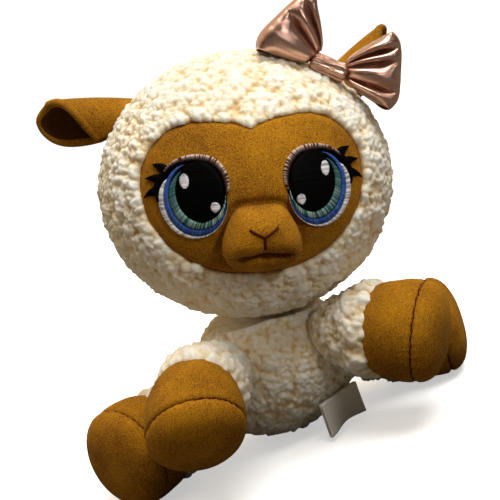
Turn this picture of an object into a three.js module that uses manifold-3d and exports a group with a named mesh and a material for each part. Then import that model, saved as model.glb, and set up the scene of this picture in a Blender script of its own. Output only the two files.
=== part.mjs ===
// A sitting plush lamb: fleece head, body and sleeves, suede face, ears and hooves, and a foil bow.
// Millimetres, +Z up. The face looks along -Y, and left is the viewer's left, -X.
// The origin is the middle of the flat seat under the body.

import * as THREE from 'three';
import { mergeVertices } from 'three/addons/utils/BufferGeometryUtils.js';
import Module from 'manifold-3d';

const wasm = await Module();
wasm.setup();

// Cloth and clearances
const FLEECE = 4.5;
const PILE = 2.5;
const SUEDE = 2;
const FOIL = 1;
const GAP = 0.3;
const BALL_GAP = 0.4;
const FLOOR_CUT = 0.5;

// Body, measured over the pile
const BODY_WIDTH = 82;
const BODY_DEPTH = 72;
const BODY_HEIGHT = 68;
const BODY_TAPER = 0.03;

// Head, measured over the pile, and how it leans and turns on the neck
const HEAD_WIDTH = 134;
const HEAD_DEPTH = 114;
const HEAD_HEIGHT = 122;
const LUMP_SPACING = 15;
const LUMP_DEPTH = 2.6;
const NECK_SINK = 5.5;
const NECK_FORWARD = 3;
const NECK_RADIUS = 18;
const HEAD_SINK = 3;
const HEAD_FORWARD = 4;
const HEAD_TILT = 13.5;
const HEAD_TURN = -8.5;
const HEAD_SWING = [-20, -8.5, 3];

// Face panel, measured from the middle of the head
const FACE_WIDTH = 95;
const FACE_TOP = 31;
const FACE_NOTCH = 25.5;
const FACE_BOTTOM = 34.5;
const FACE_RECESS = 2.5;
const FACE_LOBE = 22;
const FACE_CHEEK = 4.4;
const FACE_CHIN = 14;
const CHIN_RISE = 1;
const JAW_SLOPE = 13;
const FACE_ROUND = 0.57;

// Muzzle
const MUZZLE_WIDTH = 35;
const MUZZLE_TOP = -2.5;
const MUZZLE_BOTTOM = -34;
const MUZZLE_LENGTH = 17;
const MUZZLE_TAPER = 0.22;
const MUZZLE_BLUNTNESS = 0.62;
const MUZZLE_SQUARENESS = 0.85;
const MOUTH_HEIGHT = -27.5;
const CHIN_SETBACK = 2.5;
const NOSE_THREAD = 1.3;
const NOSE_HEIGHT = -16.4;
const NOSE_REACH = 5.6;
const NOSE_RISE = 4.2;
const NOSE_STEM = 5.5;

// Embroidered eyes: ovals on the face, with their middle and half sizes, for the right eye
const THREAD_LIFT = 0.3;
const THREAD_THICK = 0.8;
const THREAD_GAP = 0.25;
const PUPIL = { x: 22, z: 2.6, rx: 9.8, rz: 11.8 };
const IRIS_MIDDLE = { x: 23.2, z: 1.1, rx: 11.5, rz: 13.4 };
const IRIS_EDGE = { x: 24.1, z: 0.2, rx: 12.5, rz: 15.1 };
const EYE_EDGE = { x: 25.3, z: 0.4, rx: 13.8, rz: 16.2 };
const LID_INNER = { x: 23, z: 1.6, rx: 12.4, rz: 13.4 };
const LID_OUTER = { x: 23.3, z: 2, rx: 13.8, rz: 15.4 };
const LARGE_GLINT = { x: 27.5, z: 7, rx: 2.6, rz: 3.2 };
const SMALL_GLINT = { x: 16.8, z: -3.6, rx: 2, rz: 2 };
const LASH_TIPS = [[39.5, 14], [43, 8.6], [44.3, 1.2]];
const LASH_ANGLES = [44, 28, 12];
const LASH_SPREAD = 20;
const LASH_POINT = 0.1;
const IRIS_ARC = [-160, 36];
const WHITE_ARC = [-100, 36];
const LID_ARC = [48, 160];

// Ears
const EAR_LENGTH = 38;
const EAR_WIDTH = 44;
const EAR_ROOT = 5;
const EAR_CURL = 80;
const EAR_BACK = 8;
const EAR_START = 0.04;
const EAR_WAIST = 0.5;
const EAR_WIDEST = 0.6;
const EAR_TIP = 0.25;
const EAR_BLUNTNESS = 6;
const LINING_START = 0.375;
const EAR_SWING = [-15, 0, 15];
const EARS = [
  { side: -1, name: 'left', rise: 38, lean: 8, droop: 12, roll: 36 },
  { side: 1, name: 'right', rise: 46, lean: 46, droop: 12, roll: 30 },
];

// Bow on the crown
const BOW_RISE = 54;
const BOW_FORWARD = 22;
const BOW_SLOPE = 29;
const KNOT_LENGTH = 18;
const KNOT_THICK = 11;
const KNOT_SINK = 0.5;
const LOOP_LENGTH = 22;
const LOOP_WIDTH = 32;
const LOOP_PINCH = 9;
const LOOP_DEPTH = 16;
const LOOP_LIFT = 19;
const LOOP_PLEATS = 3;
const LOOP_BLUNTNESS = 0.8;
const PLEAT_DEPTH = 1.6;

// Limbs: each springs from a ball at its pivot, leads out one way and bends to another
const ROOT_RADIUS = 15;
const SLEEVE_RADIUS = 22.5;
const SLEEVE_LENGTH = 24;
const HOOF_LENGTH = 18;
const SOLE_DEPTH = 12;
const FRONT_HOOF = 22;
const FRONT_FLATNESS = 0.9;
const HIND_HOOF = 23;
const DOME_BLUNTNESS = 0.8;
const PIVOT_SINK = -1;
const FRONT_DROP = 17;
const FRONT_HEIGHT = BODY_HEIGHT - FLOOR_CUT - NECK_SINK - FRONT_DROP;
const FRONT_SPREAD = 42;
const HIND_SPREAD = 92;
const LIMBS = [
  { name: 'left_front', side: -1, hind: false, lead: [50, 12], toe: [16, -34] },
  { name: 'right_front', side: 1, hind: false, lead: [38, 0], toe: [52, -16] },
  { name: 'left_hind', side: -1, hind: true, lead: [76, 0], toe: [54, 0] },
  { name: 'right_hind', side: 1, hind: true, lead: [80, 0], toe: [70, 0] },
];

// Tail
const TAIL_LENGTH = 22;
const TAIL_RADIUS = 9;
const TAIL_ROOT = 6.5;
const TAIL_HEIGHT = 22;
const TAIL_SLOPE = 15;

// Care label, a tape folded double
const LABEL_WIDTH = 24;
const LABEL_LENGTH = 15;
const LABEL_THICK = 0.5;
const LABEL_PLY_GAP = 0.6;
const LABEL_ANGLE = 28;
const LABEL_HEIGHT = 18;

// Facets
const HEAD_FACETS = [24, 16];
const BODY_FACETS = [20, 12];
const MUZZLE_FACETS = [22, 7];
const EAR_FACETS = [8, 7];
const SWEEP_FACETS = [16, 10];
const BALL_FACETS = [12, 8];
const STUFFING_FACETS = [12, 8];
const STUFFING_EASE = 2.2;
const LIMB_EASE = 0.5;
const LIMB_SIDES = 14;

const rad = THREE.MathUtils.degToRad;
const lerp = THREE.MathUtils.lerp;
const vec = (x, y, z) => new THREE.Vector3(x, y, z);

// Closed meshes and boolean solids

function geometryOf(points, triangles) {
  const geometry = new THREE.BufferGeometry();
  geometry.setAttribute('position', new THREE.Float32BufferAttribute(points.flatMap((p) => p.toArray()), 3));
  geometry.setIndex(triangles);
  if (volumeOf(points, triangles) < 0) {
    geometry.setIndex(triangles.map((_, i) => triangles[i % 3 === 0 ? i : i % 3 === 1 ? i + 1 : i - 1]));
  }
  return geometry;
}

function volumeOf(points, triangles) {
  let sum = 0;
  const cross = vec();
  for (let i = 0; i < triangles.length; i += 3) {
    cross.crossVectors(points[triangles[i + 1]], points[triangles[i + 2]]);
    sum += points[triangles[i]].dot(cross);
  }
  return sum / 6;
}

// A closed skin through rings of points: a ring of one point is a pole, a loop joins its ends
function skin(rings, loop = false) {
  const points = rings.flat();
  const starts = [];
  let count = 0;
  for (const ring of rings) {
    starts.push(count);
    count += ring.length;
  }
  const triangles = [];
  const last = loop ? rings.length : rings.length - 1;
  for (let i = 0; i < last; i += 1) {
    const j = (i + 1) % rings.length;
    const sides = Math.max(rings[i].length, rings[j].length);
    for (let k = 0; k < sides; k += 1) {
      const a = starts[i] + (rings[i].length === 1 ? 0 : k);
      const b = starts[i] + (rings[i].length === 1 ? 0 : (k + 1) % sides);
      const c = starts[j] + (rings[j].length === 1 ? 0 : k);
      const d = starts[j] + (rings[j].length === 1 ? 0 : (k + 1) % sides);
      if (a !== b) triangles.push(a, b, c);
      if (c !== d) triangles.push(b, d, c);
    }
  }
  return geometryOf(points, triangles);
}

// A closed sheet of one thickness on a grid of points, with its normals worked out or given
function sheet(grid, thickness, normalAt = null) {
  const rows = grid.length;
  const columns = grid[0].length;
  const points = [];
  for (const face of [0.5, -0.5]) {
    for (let i = 0; i < rows; i += 1) {
      for (let j = 0; j < columns; j += 1) {
        const along = grid[Math.min(i + 1, rows - 1)][j].clone().sub(grid[Math.max(i - 1, 0)][j]);
        const across = grid[i][Math.min(j + 1, columns - 1)].clone().sub(grid[i][Math.max(j - 1, 0)]);
        const normal = normalAt ? normalAt(grid[i][j]) : along.cross(across).normalize();
        points.push(grid[i][j].clone().addScaledVector(normal, face * thickness));
      }
    }
  }
  const triangles = [];
  const under = rows * columns;
  const quad = (a, b, c, d) => triangles.push(a, b, c, a, c, d);
  for (let i = 0; i + 1 < rows; i += 1) {
    for (let j = 0; j + 1 < columns; j += 1) {
      const a = i * columns + j;
      quad(a, a + columns, a + columns + 1, a + 1);
      quad(under + a, under + a + 1, under + a + columns + 1, under + a + columns);
    }
  }
  const edge = [];
  for (let j = 0; j + 1 < columns; j += 1) edge.push(j);
  for (let i = 0; i + 1 < rows; i += 1) edge.push(i * columns + columns - 1);
  for (let j = columns - 1; j > 0; j -= 1) edge.push((rows - 1) * columns + j);
  for (let i = rows - 1; i > 0; i -= 1) edge.push(i * columns);
  edge.forEach((a, k) => {
    const b = edge[(k + 1) % edge.length];
    quad(a, b, under + b, under + a);
  });
  return geometryOf(points, triangles);
}

function solid(geometry) {
  const bare = geometry.clone();
  bare.deleteAttribute('normal');
  bare.deleteAttribute('uv');
  const merged = mergeVertices(bare, 1e-4);
  return new wasm.Manifold(new wasm.Mesh({
    numProp: 3,
    vertProperties: Float32Array.from(merged.attributes.position.array),
    triVerts: Uint32Array.from(merged.index.array),
  }));
}

function cut(body, ...tools) {
  return tools.reduce((left, tool) => left.subtract(tool), body);
}

function shapeOf(form) {
  if (form.isBufferGeometry) return form;
  const mesh = form.getMesh();
  const geometry = new THREE.BufferGeometry();
  geometry.setAttribute('position', new THREE.BufferAttribute(Float32Array.from(mesh.vertProperties), 3));
  geometry.setIndex(Array.from(mesh.triVerts));
  return geometry;
}

function ellipsoid(half, [sides, rows], taper = 0) {
  const geometry = new THREE.SphereGeometry(1, sides, rows);
  geometry.rotateX(Math.PI / 2);
  const position = geometry.attributes.position;
  for (let i = 0; i < position.count; i += 1) {
    const narrow = 1 - taper * position.getZ(i);
    position.setXYZ(i, position.getX(i) * half.x * narrow, position.getY(i) * half.y * narrow,
      position.getZ(i) * half.z);
  }
  return geometry;
}

function ball(radius, centre) {
  return solid(ellipsoid(vec(radius, radius, radius), BALL_FACETS).translate(centre.x, centre.y, centre.z));
}

// How far a faceted ball's flats lie inside its corners, as a share of its radius
function facetDip([sides, rows]) {
  return Math.cos(Math.PI / sides) * Math.cos(Math.PI / (2 * rows));
}

// A ball's socket: its flat facets, not its corners, keep the clearance
function socket(radius, centre) {
  return ball((radius + BALL_GAP) / facetDip(BALL_FACETS), centre);
}

// All the space above or below a height, as far as the toy reaches
function halfSpace(height, above) {
  const size = 4 * (HEAD_HEIGHT + BODY_HEIGHT);
  const box = new THREE.BoxGeometry(size, size, size);
  return solid(box.translate(0, 0, height + (above ? size / 2 : -size / 2)));
}

// Materials and the scene graph

const LOOKS = {
  fleece: { color: 0xf3e9d3, roughness: 1, metalness: 0 },
  suede: { color: 0xa06f1c, roughness: 0.95, metalness: 0 },
  lining: { color: 0x7d5415, roughness: 0.95, metalness: 0 },
  stuffing: { color: 0xfafafa, roughness: 1, metalness: 0 },
  foil: { color: 0xb58871, roughness: 0.25, metalness: 0.9 },
  black_thread: { color: 0x0b0b0d, roughness: 0.6, metalness: 0 },
  white_thread: { color: 0xeceaf0, roughness: 0.6, metalness: 0 },
  blue_thread: { color: 0x1d4f9e, roughness: 0.5, metalness: 0 },
  teal_thread: { color: 0x3f8f91, roughness: 0.5, metalness: 0 },
  rose_thread: { color: 0x8d6a5c, roughness: 0.5, metalness: 0 },
  brown_thread: { color: 0x431a12, roughness: 0.7, metalness: 0 },
  tape: { color: 0xe6e6e6, roughness: 0.8, metalness: 0 },
};

function addPiece(parent, name, form, look) {
  const mesh = new THREE.Mesh(shapeOf(form), new THREE.MeshStandardMaterial(LOOKS[look]));
  mesh.name = name;
  parent.add(mesh);
  return mesh;
}

const lamb = new THREE.Group();
const neck = vec(0, -NECK_FORWARD, BODY_HEIGHT - FLOOR_CUT - NECK_SINK);
const head = new THREE.Group();
head.position.copy(neck);
head.rotation.set(0, rad(HEAD_TILT), rad(HEAD_TURN), 'YZX');
lamb.add(head);

// Everything on the head is placed from the head's own middle
const skull = new THREE.Group();
skull.position.set(0, -HEAD_FORWARD, HEAD_HEIGHT / 2 - HEAD_SINK);
head.add(skull);
lamb.updateMatrixWorld(true);
const neckInSkull = skull.worldToLocal(neck.clone());

const headHalf = vec(HEAD_WIDTH / 2, HEAD_DEPTH / 2, HEAD_HEIGHT / 2);
const bodyHalf = vec(BODY_WIDTH / 2, BODY_DEPTH / 2, BODY_HEIGHT / 2);
const bodyMiddle = vec(0, 0, BODY_HEIGHT / 2 - FLOOR_CUT);
const inset = (half, by) => half.clone().subScalar(by);

// A point on the body at a height, turned from the front towards one side, and sunk under the surface
function onBody(side, turn, height, sink) {
  const level = (height - bodyMiddle.z) / bodyHalf.z;
  const reach = Math.sqrt(1 - level ** 2) * (1 - BODY_TAPER * level);
  return vec(
    side * (bodyHalf.x * reach - sink) * Math.sin(rad(turn)),
    -(bodyHalf.y * reach - sink) * Math.cos(rad(turn)),
    height,
  );
}

// Limbs: a bent centre line from the pivot, with rings about it

function heading(side, [turn, rise]) {
  const flat = Math.cos(rad(rise));
  return vec(side * Math.sin(rad(turn)) * flat, -Math.cos(rad(turn)) * flat, Math.sin(rad(rise)));
}

function limbLine(limb) {
  const lead = heading(limb.side, limb.lead);
  const toe = heading(limb.side, limb.toe);
  const bend = lead.clone().multiplyScalar(SLEEVE_LENGTH);
  const end = bend.clone().addScaledVector(toe, HOOF_LENGTH);
  const curve = new THREE.QuadraticBezierCurve3(vec(0, 0, 0), bend, end);
  const side = lead.clone().cross(toe);
  if (side.length() < 1e-6) side.copy(lead).cross(vec(0, 0, 1));
  const flatness = limb.hind ? 1 : FRONT_FLATNESS;
  return { curve, flatness, side: side.normalize(), length: curve.getLength() };
}

function limbRing(line, distance, radius) {
  const inside = THREE.MathUtils.clamp(distance / line.length, 0, 1);
  const centre = line.curve.getPointAt(inside);
  const along = line.curve.getTangentAt(inside);
  centre.addScaledVector(along, distance - inside * line.length);
  if (radius < 1e-6) return [centre];
  const up = along.clone().cross(line.side);
  const flat = lerp(1, line.flatness, THREE.MathUtils.smoothstep(distance, 0, SLEEVE_LENGTH));
  return Array.from({ length: LIMB_SIDES }, (_, k) => {
    const angle = (2 * Math.PI * k) / LIMB_SIDES;
    return centre.clone()
      .addScaledVector(line.side, radius * Math.cos(angle))
      .addScaledVector(up, radius * flat * Math.sin(angle));
  });
}

// Stations along a limb, as pairs of distance and radius
function rootStations(radius, steps) {
  return Array.from({ length: steps }, (_, k) => {
    const angle = (Math.PI / 2) * (k / steps - 1);
    return [radius * Math.sin(angle), k === 0 ? 0 : radius * Math.cos(angle)];
  });
}

function swellStations(from, to, start, end, steps) {
  return Array.from({ length: steps + 1 }, (_, k) => {
    const share = k / steps;
    return [lerp(from, to, share), lerp(start, end, THREE.MathUtils.smoothstep(share, 0, 1))];
  });
}

function domeStations(from, depth, radius, steps) {
  return Array.from({ length: steps + 1 }, (_, k) => {
    const angle = (Math.PI / 2) * (k / steps);
    const across = k === steps ? 0 : radius * Math.cos(angle) ** DOME_BLUNTNESS;
    return [from + depth * Math.sin(angle) ** DOME_BLUNTNESS, across];
  });
}

function limbSkin(line, stations, loop = false) {
  return solid(skin(stations.map(([distance, radius]) => limbRing(line, distance, radius)), loop));
}

const cuffRadius = SLEEVE_RADIUS - PILE;
const seamAt = SLEEVE_LENGTH + HOOF_LENGTH;

function sleeveSkin(line) {
  const lining = ROOT_RADIUS - FLEECE;
  const outer = [
    ...rootStations(ROOT_RADIUS, 4),
    ...swellStations(0, SLEEVE_LENGTH - PILE, ROOT_RADIUS, SLEEVE_RADIUS, 4),
    [SLEEVE_LENGTH, cuffRadius],
  ];
  const inner = [
    ...rootStations(lining, 3),
    ...swellStations(0, SLEEVE_LENGTH, lining, cuffRadius - SUEDE, 3),
  ];
  return limbSkin(line, [...outer, ...inner.reverse()]);
}

function hoofSkin(line, radius) {
  const start = SLEEVE_LENGTH + GAP;
  const outer = swellStations(start, seamAt, cuffRadius, radius, 4);
  const inner = swellStations(start, seamAt, cuffRadius - SUEDE, radius - SUEDE, 3);
  return limbSkin(line, [...outer, ...inner.reverse()], true);
}

function soleSkin(line, radius) {
  const outer = domeStations(seamAt + GAP, SOLE_DEPTH, radius, 5);
  const inner = domeStations(seamAt + GAP, SOLE_DEPTH - SUEDE, radius - SUEDE, 4);
  return limbSkin(line, [...inner.reverse(), ...outer]);
}

function limbStuffing(line, radius) {
  const ease = SUEDE + LIMB_EASE;
  const root = ROOT_RADIUS - FLEECE - LIMB_EASE;
  return limbSkin(line, [
    ...rootStations(root, 3),
    ...swellStations(0, SLEEVE_LENGTH, root, cuffRadius - ease, 3),
    ...swellStations(SLEEVE_LENGTH, seamAt, cuffRadius - ease, radius - ease, 3).slice(1),
    ...domeStations(seamAt, SOLE_DEPTH - ease, radius - ease, 4).slice(1),
  ]);
}

function pivotOf(limb) {
  if (limb.hind) return onBody(limb.side, HIND_SPREAD, HIND_HOOF - FLOOR_CUT, PIVOT_SINK);
  return onBody(limb.side, FRONT_SPREAD, FRONT_HEIGHT, PIVOT_SINK);
}

for (const limb of LIMBS) {
  const line = limbLine(limb);
  const pivot = pivotOf(limb);
  const radius = limb.hind ? HIND_HOOF : FRONT_HOOF;
  const floor = halfSpace(-pivot.z, false);
  const group = new THREE.Group();
  group.position.copy(pivot);
  lamb.add(group);
  addPiece(group, `${limb.name}_sleeve`, cut(sleeveSkin(line), floor), 'fleece');
  addPiece(group, `${limb.name}_hoof`, cut(hoofSkin(line, radius), floor), 'suede');
  addPiece(group, `${limb.name}_sole`, cut(soleSkin(line, radius), floor), 'suede');
  addPiece(group, `${limb.name}_stuffing`, limbStuffing(line, radius), 'stuffing');
}

// Tail: a short drop on its own ball, low on the back

const tailPivot = onBody(1, 180, TAIL_HEIGHT, PIVOT_SINK);

function tailSkin() {
  const out = vec(0, Math.cos(rad(TAIL_SLOPE)), -Math.sin(rad(TAIL_SLOPE)));
  const across = vec(1, 0, 0);
  const up = across.clone().cross(out);
  const stations = [
    ...rootStations(TAIL_ROOT, 3),
    ...swellStations(0, TAIL_LENGTH - TAIL_RADIUS, TAIL_ROOT, TAIL_RADIUS, 3),
    ...domeStations(TAIL_LENGTH - TAIL_RADIUS, TAIL_RADIUS, TAIL_RADIUS, 4).slice(1),
  ];
  return skin(stations.map(([distance, radius]) => {
    const centre = out.clone().multiplyScalar(distance);
    if (radius === 0) return [centre];
    return Array.from({ length: LIMB_SIDES }, (_, k) => {
      const angle = (2 * Math.PI * k) / LIMB_SIDES;
      return centre.clone()
        .addScaledVector(across, radius * Math.cos(angle))
        .addScaledVector(up, radius * Math.sin(angle));
    });
  }));
}

const tail = new THREE.Group();
tail.position.copy(tailPivot);
lamb.add(tail);
addPiece(tail, 'tail', tailSkin(), 'fleece');

// Body: an egg with a neck ball, hollowed for its wadding and cut by the head and the limbs

function bodyForm(by) {
  const egg = solid(ellipsoid(inset(bodyHalf, by), BODY_FACETS, BODY_TAPER)
    .translate(bodyMiddle.x, bodyMiddle.y, bodyMiddle.z));
  const swept = HEAD_SWING.map((angle) => {
    const turn = new THREE.Matrix4().makeTranslation(neck)
      .multiply(new THREE.Matrix4().makeRotationY(rad(angle)))
      .multiply(new THREE.Matrix4().makeTranslation(neck.clone().negate()))
      .multiply(skull.matrixWorld);
    const grown = inset(headHalf, -(BALL_GAP + by)).divideScalar(facetDip(SWEEP_FACETS));
    return solid(ellipsoid(grown, SWEEP_FACETS).applyMatrix4(turn));
  });
  return cut(egg, ...swept).add(ball(NECK_RADIUS - by, neck));
}

const bodySockets = [
  ...LIMBS.map((limb) => socket(ROOT_RADIUS, pivotOf(limb))),
  socket(TAIL_ROOT, tailPivot),
];
const torsoShell = cut(bodyForm(0), bodyForm(FLEECE), halfSpace(0, false), ...bodySockets);
addPiece(lamb, 'torso_cover', torsoShell, 'fleece');
const bodyWad = solid(ellipsoid(inset(bodyHalf, FLEECE + STUFFING_EASE), STUFFING_FACETS, BODY_TAPER)
  .translate(bodyMiddle.x, bodyMiddle.y, bodyMiddle.z));
const wadTop = halfSpace(neck.z - NECK_RADIUS + STUFFING_EASE, false);
addPiece(lamb, 'torso_stuffing', cut(bodyWad.intersect(wadTop), ...bodySockets), 'stuffing');

// Head: a fleece shell with an opening for the face panel

// One side of the outline, from the notch down to the middle of the chin: two handles and an end per curve
function faceSide(side, by) {
  const widest = FACE_WIDTH / 2 - by;
  const top = FACE_TOP - by;
  const notch = FACE_NOTCH - by;
  const bottom = by - FACE_BOTTOM;
  const jaw = FACE_ROUND * (widest - FACE_CHIN);
  const jawRise = CHIN_RISE + jaw * Math.tan(rad(JAW_SLOPE));
  const curves = [
    [FACE_LOBE / 4, lerp(notch, top, 0.75), lerp(FACE_LOBE, 0, FACE_ROUND), top, FACE_LOBE, top],
    [lerp(FACE_LOBE, widest, FACE_ROUND), top, widest, lerp(FACE_CHEEK, top, FACE_ROUND), widest, FACE_CHEEK],
    [widest, lerp(FACE_CHEEK, bottom, FACE_ROUND / 1.2), FACE_CHIN + jaw, bottom + jawRise,
      FACE_CHIN, bottom + CHIN_RISE],
    [FACE_CHIN / 1.5, bottom, FACE_CHIN / 3, bottom, 0, bottom],
  ];
  return curves.map((curve) => curve.map((value, k) => (k % 2 === 0 ? side * value : value)));
}

function faceOutline(by) {
  const start = [0, FACE_NOTCH - by];
  const shape = new THREE.Shape().moveTo(...start);
  faceSide(1, by).forEach((curve) => shape.bezierCurveTo(...curve));
  const back = faceSide(-1, by);
  for (let k = back.length - 1; k >= 0; k -= 1) {
    const [ax, az, bx, bz] = back[k];
    const end = k === 0 ? start : back[k - 1].slice(4);
    shape.bezierCurveTo(bx, bz, ax, az, ...end);
  }
  return shape;
}

function facePrism(by) {
  const depth = HEAD_DEPTH;
  const prism = new THREE.ExtrudeGeometry(faceOutline(by), { depth, bevelEnabled: false, curveSegments: 5 });
  return solid(prism.rotateX(Math.PI / 2));
}

const faceHalf = inset(headHalf, FACE_RECESS);
const headEgg = (by) => solid(ellipsoid(inset(headHalf, by), HEAD_FACETS));

// The lumps of wool: even spots on a ball by the golden angle, as many as their spacing asks for
const lumpArea = LUMP_SPACING ** 2 * Math.sqrt(0.75);
const lumpCount = Math.round(4 * Math.PI * headHalf.x * headHalf.z / lumpArea);
const lumps = Array.from({ length: lumpCount }, (_, i) => {
  const height = 1 - (2 * i + 1) / lumpCount;
  const turn = i * Math.PI * (3 - Math.sqrt(5));
  return new THREE.Vector3().setFromSphericalCoords(1, Math.acos(height), turn);
});

// A woolly egg: each lump is a peak, and every three neighbours have a dip between them
function woollyEgg(by) {
  const net = wasm.Manifold.hull(lumps.map((spot) => spot.toArray())).getMesh();
  const peaks = Array.from({ length: net.numVert }, (_, i) => vec(...net.position(i)));
  const meetings = Array.from({ length: net.numTri }, (_, i) => [...net.verts(i)]);
  const dips = meetings.map((corners) => corners
    .reduce((sum, corner) => sum.add(peaks[corner]), vec()).normalize());
  const beside = new Map();
  meetings.forEach((corners, i) => corners.forEach((a, k) => beside.set(`${a} ${corners[(k + 1) % 3]}`, i)));
  const triangles = meetings.flatMap((corners, i) => corners.flatMap((a, k) => {
    const opposite = beside.get(`${corners[(k + 1) % 3]} ${a}`);
    return [a, peaks.length + opposite, peaks.length + i];
  }));
  const points = [...peaks.map((spot) => spot.multiply(inset(headHalf, by))),
    ...dips.map((spot) => spot.multiply(inset(headHalf, by + LUMP_DEPTH)))];
  return geometryOf(points, triangles);
}

function onHead(direction) {
  const share = Math.hypot(direction.x / headHalf.x, direction.y / headHalf.y, direction.z / headHalf.z);
  return direction.clone().divideScalar(share);
}

const earRoots = EARS.map((ear) => onHead(vec(
  ear.side * headHalf.x * Math.cos(rad(ear.rise)), EAR_BACK, headHalf.x * Math.sin(rad(ear.rise)),
)));
const headSockets = [
  socket(NECK_RADIUS, neckInSkull),
  ...earRoots.map((root) => socket(EAR_ROOT, root)),
];

const headWad = solid(ellipsoid(inset(headHalf, FLEECE + STUFFING_EASE), STUFFING_FACETS));
addPiece(skull, 'head_cover', cut(solid(woollyEgg(0)), headEgg(FLEECE), facePrism(0), ...headSockets), 'fleece');
addPiece(skull, 'head_stuffing', cut(headWad, ...headSockets), 'stuffing');
const panelShell = cut(headEgg(FACE_RECESS), headEgg(FACE_RECESS + SUEDE));
addPiece(skull, 'face_panel', panelShell.intersect(facePrism(GAP)), 'suede');

// Muzzle: a stuffed swelling on the face panel, split at the mouth

function muzzleForm(setback) {
  const half = MUZZLE_WIDTH / 2;
  const tall = (MUZZLE_TOP - MUZZLE_BOTTOM) / 2;
  const middle = (MUZZLE_TOP + MUZZLE_BOTTOM) / 2;
  const root = faceHalf.y / 2;
  const reach = MUZZLE_LENGTH - setback - onFace(0, middle, 0).y - root;
  const squared = (value) => Math.sign(value) * Math.abs(value) ** MUZZLE_SQUARENESS;
  const rings = [[vec(0, -root, middle)]];
  for (let k = 0; k < MUZZLE_FACETS[1]; k += 1) {
    const angle = (Math.PI / 2) * (k / MUZZLE_FACETS[1]);
    const y = -(root + reach * Math.sin(angle) ** MUZZLE_SQUARENESS);
    const size = Math.cos(angle) ** MUZZLE_BLUNTNESS;
    rings.push(Array.from({ length: MUZZLE_FACETS[0] }, (_, i) => {
      const turn = (2 * Math.PI * i) / MUZZLE_FACETS[0];
      const up = squared(Math.sin(turn));
      const across = squared(Math.cos(turn)) * (1 - MUZZLE_TAPER * up);
      return vec(half * size * across, y, middle + tall * size * up);
    }));
  }
  rings.push([vec(0, -(root + reach), middle)]);
  return solid(skin(rings)).subtract(headEgg(FACE_RECESS - GAP));
}

const upperMuzzle = muzzleForm(0).intersect(halfSpace(MOUTH_HEIGHT + GAP / 2, true));
const muzzle = addPiece(skull, 'muzzle_upper', upperMuzzle, 'suede');
const chin = muzzleForm(CHIN_SETBACK).intersect(halfSpace(MOUTH_HEIGHT - GAP / 2, false));
addPiece(skull, 'muzzle_chin', chin, 'suede');

// Nose: two arms and a stem of thread, laid on the muzzle

function muzzlePoint(x, z) {
  const bare = new THREE.Mesh(muzzle.geometry, new THREE.MeshBasicMaterial({ side: THREE.DoubleSide }));
  const ray = new THREE.Raycaster(vec(x, -HEAD_DEPTH, z), vec(0, 1, 0));
  const hit = ray.intersectObject(bare)[0];
  return hit.point.addScaledVector(hit.face.normal, NOSE_THREAD / 2 + 2 * GAP);
}

function thread(points) {
  const path = new THREE.CatmullRomCurve3(points);
  const section = new THREE.Shape().absarc(0, 0, NOSE_THREAD / 2, 0, 2 * Math.PI);
  return solid(new THREE.ExtrudeGeometry(section, { steps: 4, extrudePath: path, curveSegments: 3 }));
}

const armPoint = (side, t) => muzzlePoint(side * NOSE_REACH * t, NOSE_HEIGHT + NOSE_RISE * t);
const arm = (side) => thread([1, 0.5, 0].map((t) => armPoint(side, t)));
const stem = thread([0, 0.5, 1].map((t) => muzzlePoint(0, NOSE_HEIGHT - NOSE_STEM * t)));
addPiece(skull, 'nose_stitch', arm(-1).add(arm(1)).add(stem), 'brown_thread');

// Eyes: satin stitch laid on the face panel, pieces side by side

function onFace(x, z, lift) {
  const depth = faceHalf.y * Math.sqrt(1 - (x / faceHalf.x) ** 2 - (z / faceHalf.z) ** 2);
  const point = vec(x, -depth, z);
  return point.addScaledVector(faceNormal(point), lift);
}

function faceNormal(point) {
  return vec(point.x / faceHalf.x ** 2, point.y / faceHalf.y ** 2, point.z / faceHalf.z ** 2).normalize();
}

const grow = (oval, by) => ({ ...oval, rx: oval.rx + by, rz: oval.rz + by });
const threadMiddle = THREAD_LIFT + THREAD_THICK / 2;

function ovalPoint(oval, angle, share = 1) {
  return [oval.x + oval.rx * share * Math.cos(angle), oval.z + oval.rz * share * Math.sin(angle)];
}

function ovalPatch(side, oval, lift, sides) {
  const ring = (share, height) => Array.from({ length: sides }, (_, k) => {
    const [x, z] = ovalPoint(oval, (2 * Math.PI * k) / sides, share);
    return onFace(side * x, z, height);
  });
  const pole = (height) => [onFace(side * oval.x, oval.z, height)];
  const top = lift + THREAD_THICK;
  return skin([pole(lift), ring(0.5, lift), ring(1, lift), ring(1, top), ring(0.5, top), pole(top)]);
}

function crescent(side, inner, outer, [from, to], steps) {
  const grid = Array.from({ length: steps + 1 }, (_, k) => {
    const angle = rad(lerp(from, to, k / steps));
    const a = ovalPoint(inner, angle);
    const b = ovalPoint(outer, angle);
    return [0, 0.5, 1].map((t) => onFace(side * lerp(a[0], b[0], t), lerp(a[1], b[1], t), threadMiddle));
  });
  return sheet(grid, THREAD_THICK, faceNormal);
}

function lashes(side) {
  const edge = grow(EYE_EDGE, THREAD_GAP);
  const lash = (tip, k) => {
    const rows = [0, 0.5, 1].map((t) => [-1, 0, 1].map((w) => {
      const root = ovalPoint(edge, rad(LASH_ANGLES[k] - (LASH_SPREAD / 2) * w));
      const middle = ovalPoint(edge, rad(LASH_ANGLES[k]));
      const end = [0, 1].map((i) => tip[i] + LASH_POINT * (root[i] - middle[i]));
      return onFace(side * lerp(root[0], end[0], t), lerp(root[1], end[1], t), threadMiddle);
    }));
    return solid(sheet(rows, THREAD_THICK, faceNormal));
  };
  return LASH_TIPS.map(lash).reduce((a, b) => a.add(b));
}

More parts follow.
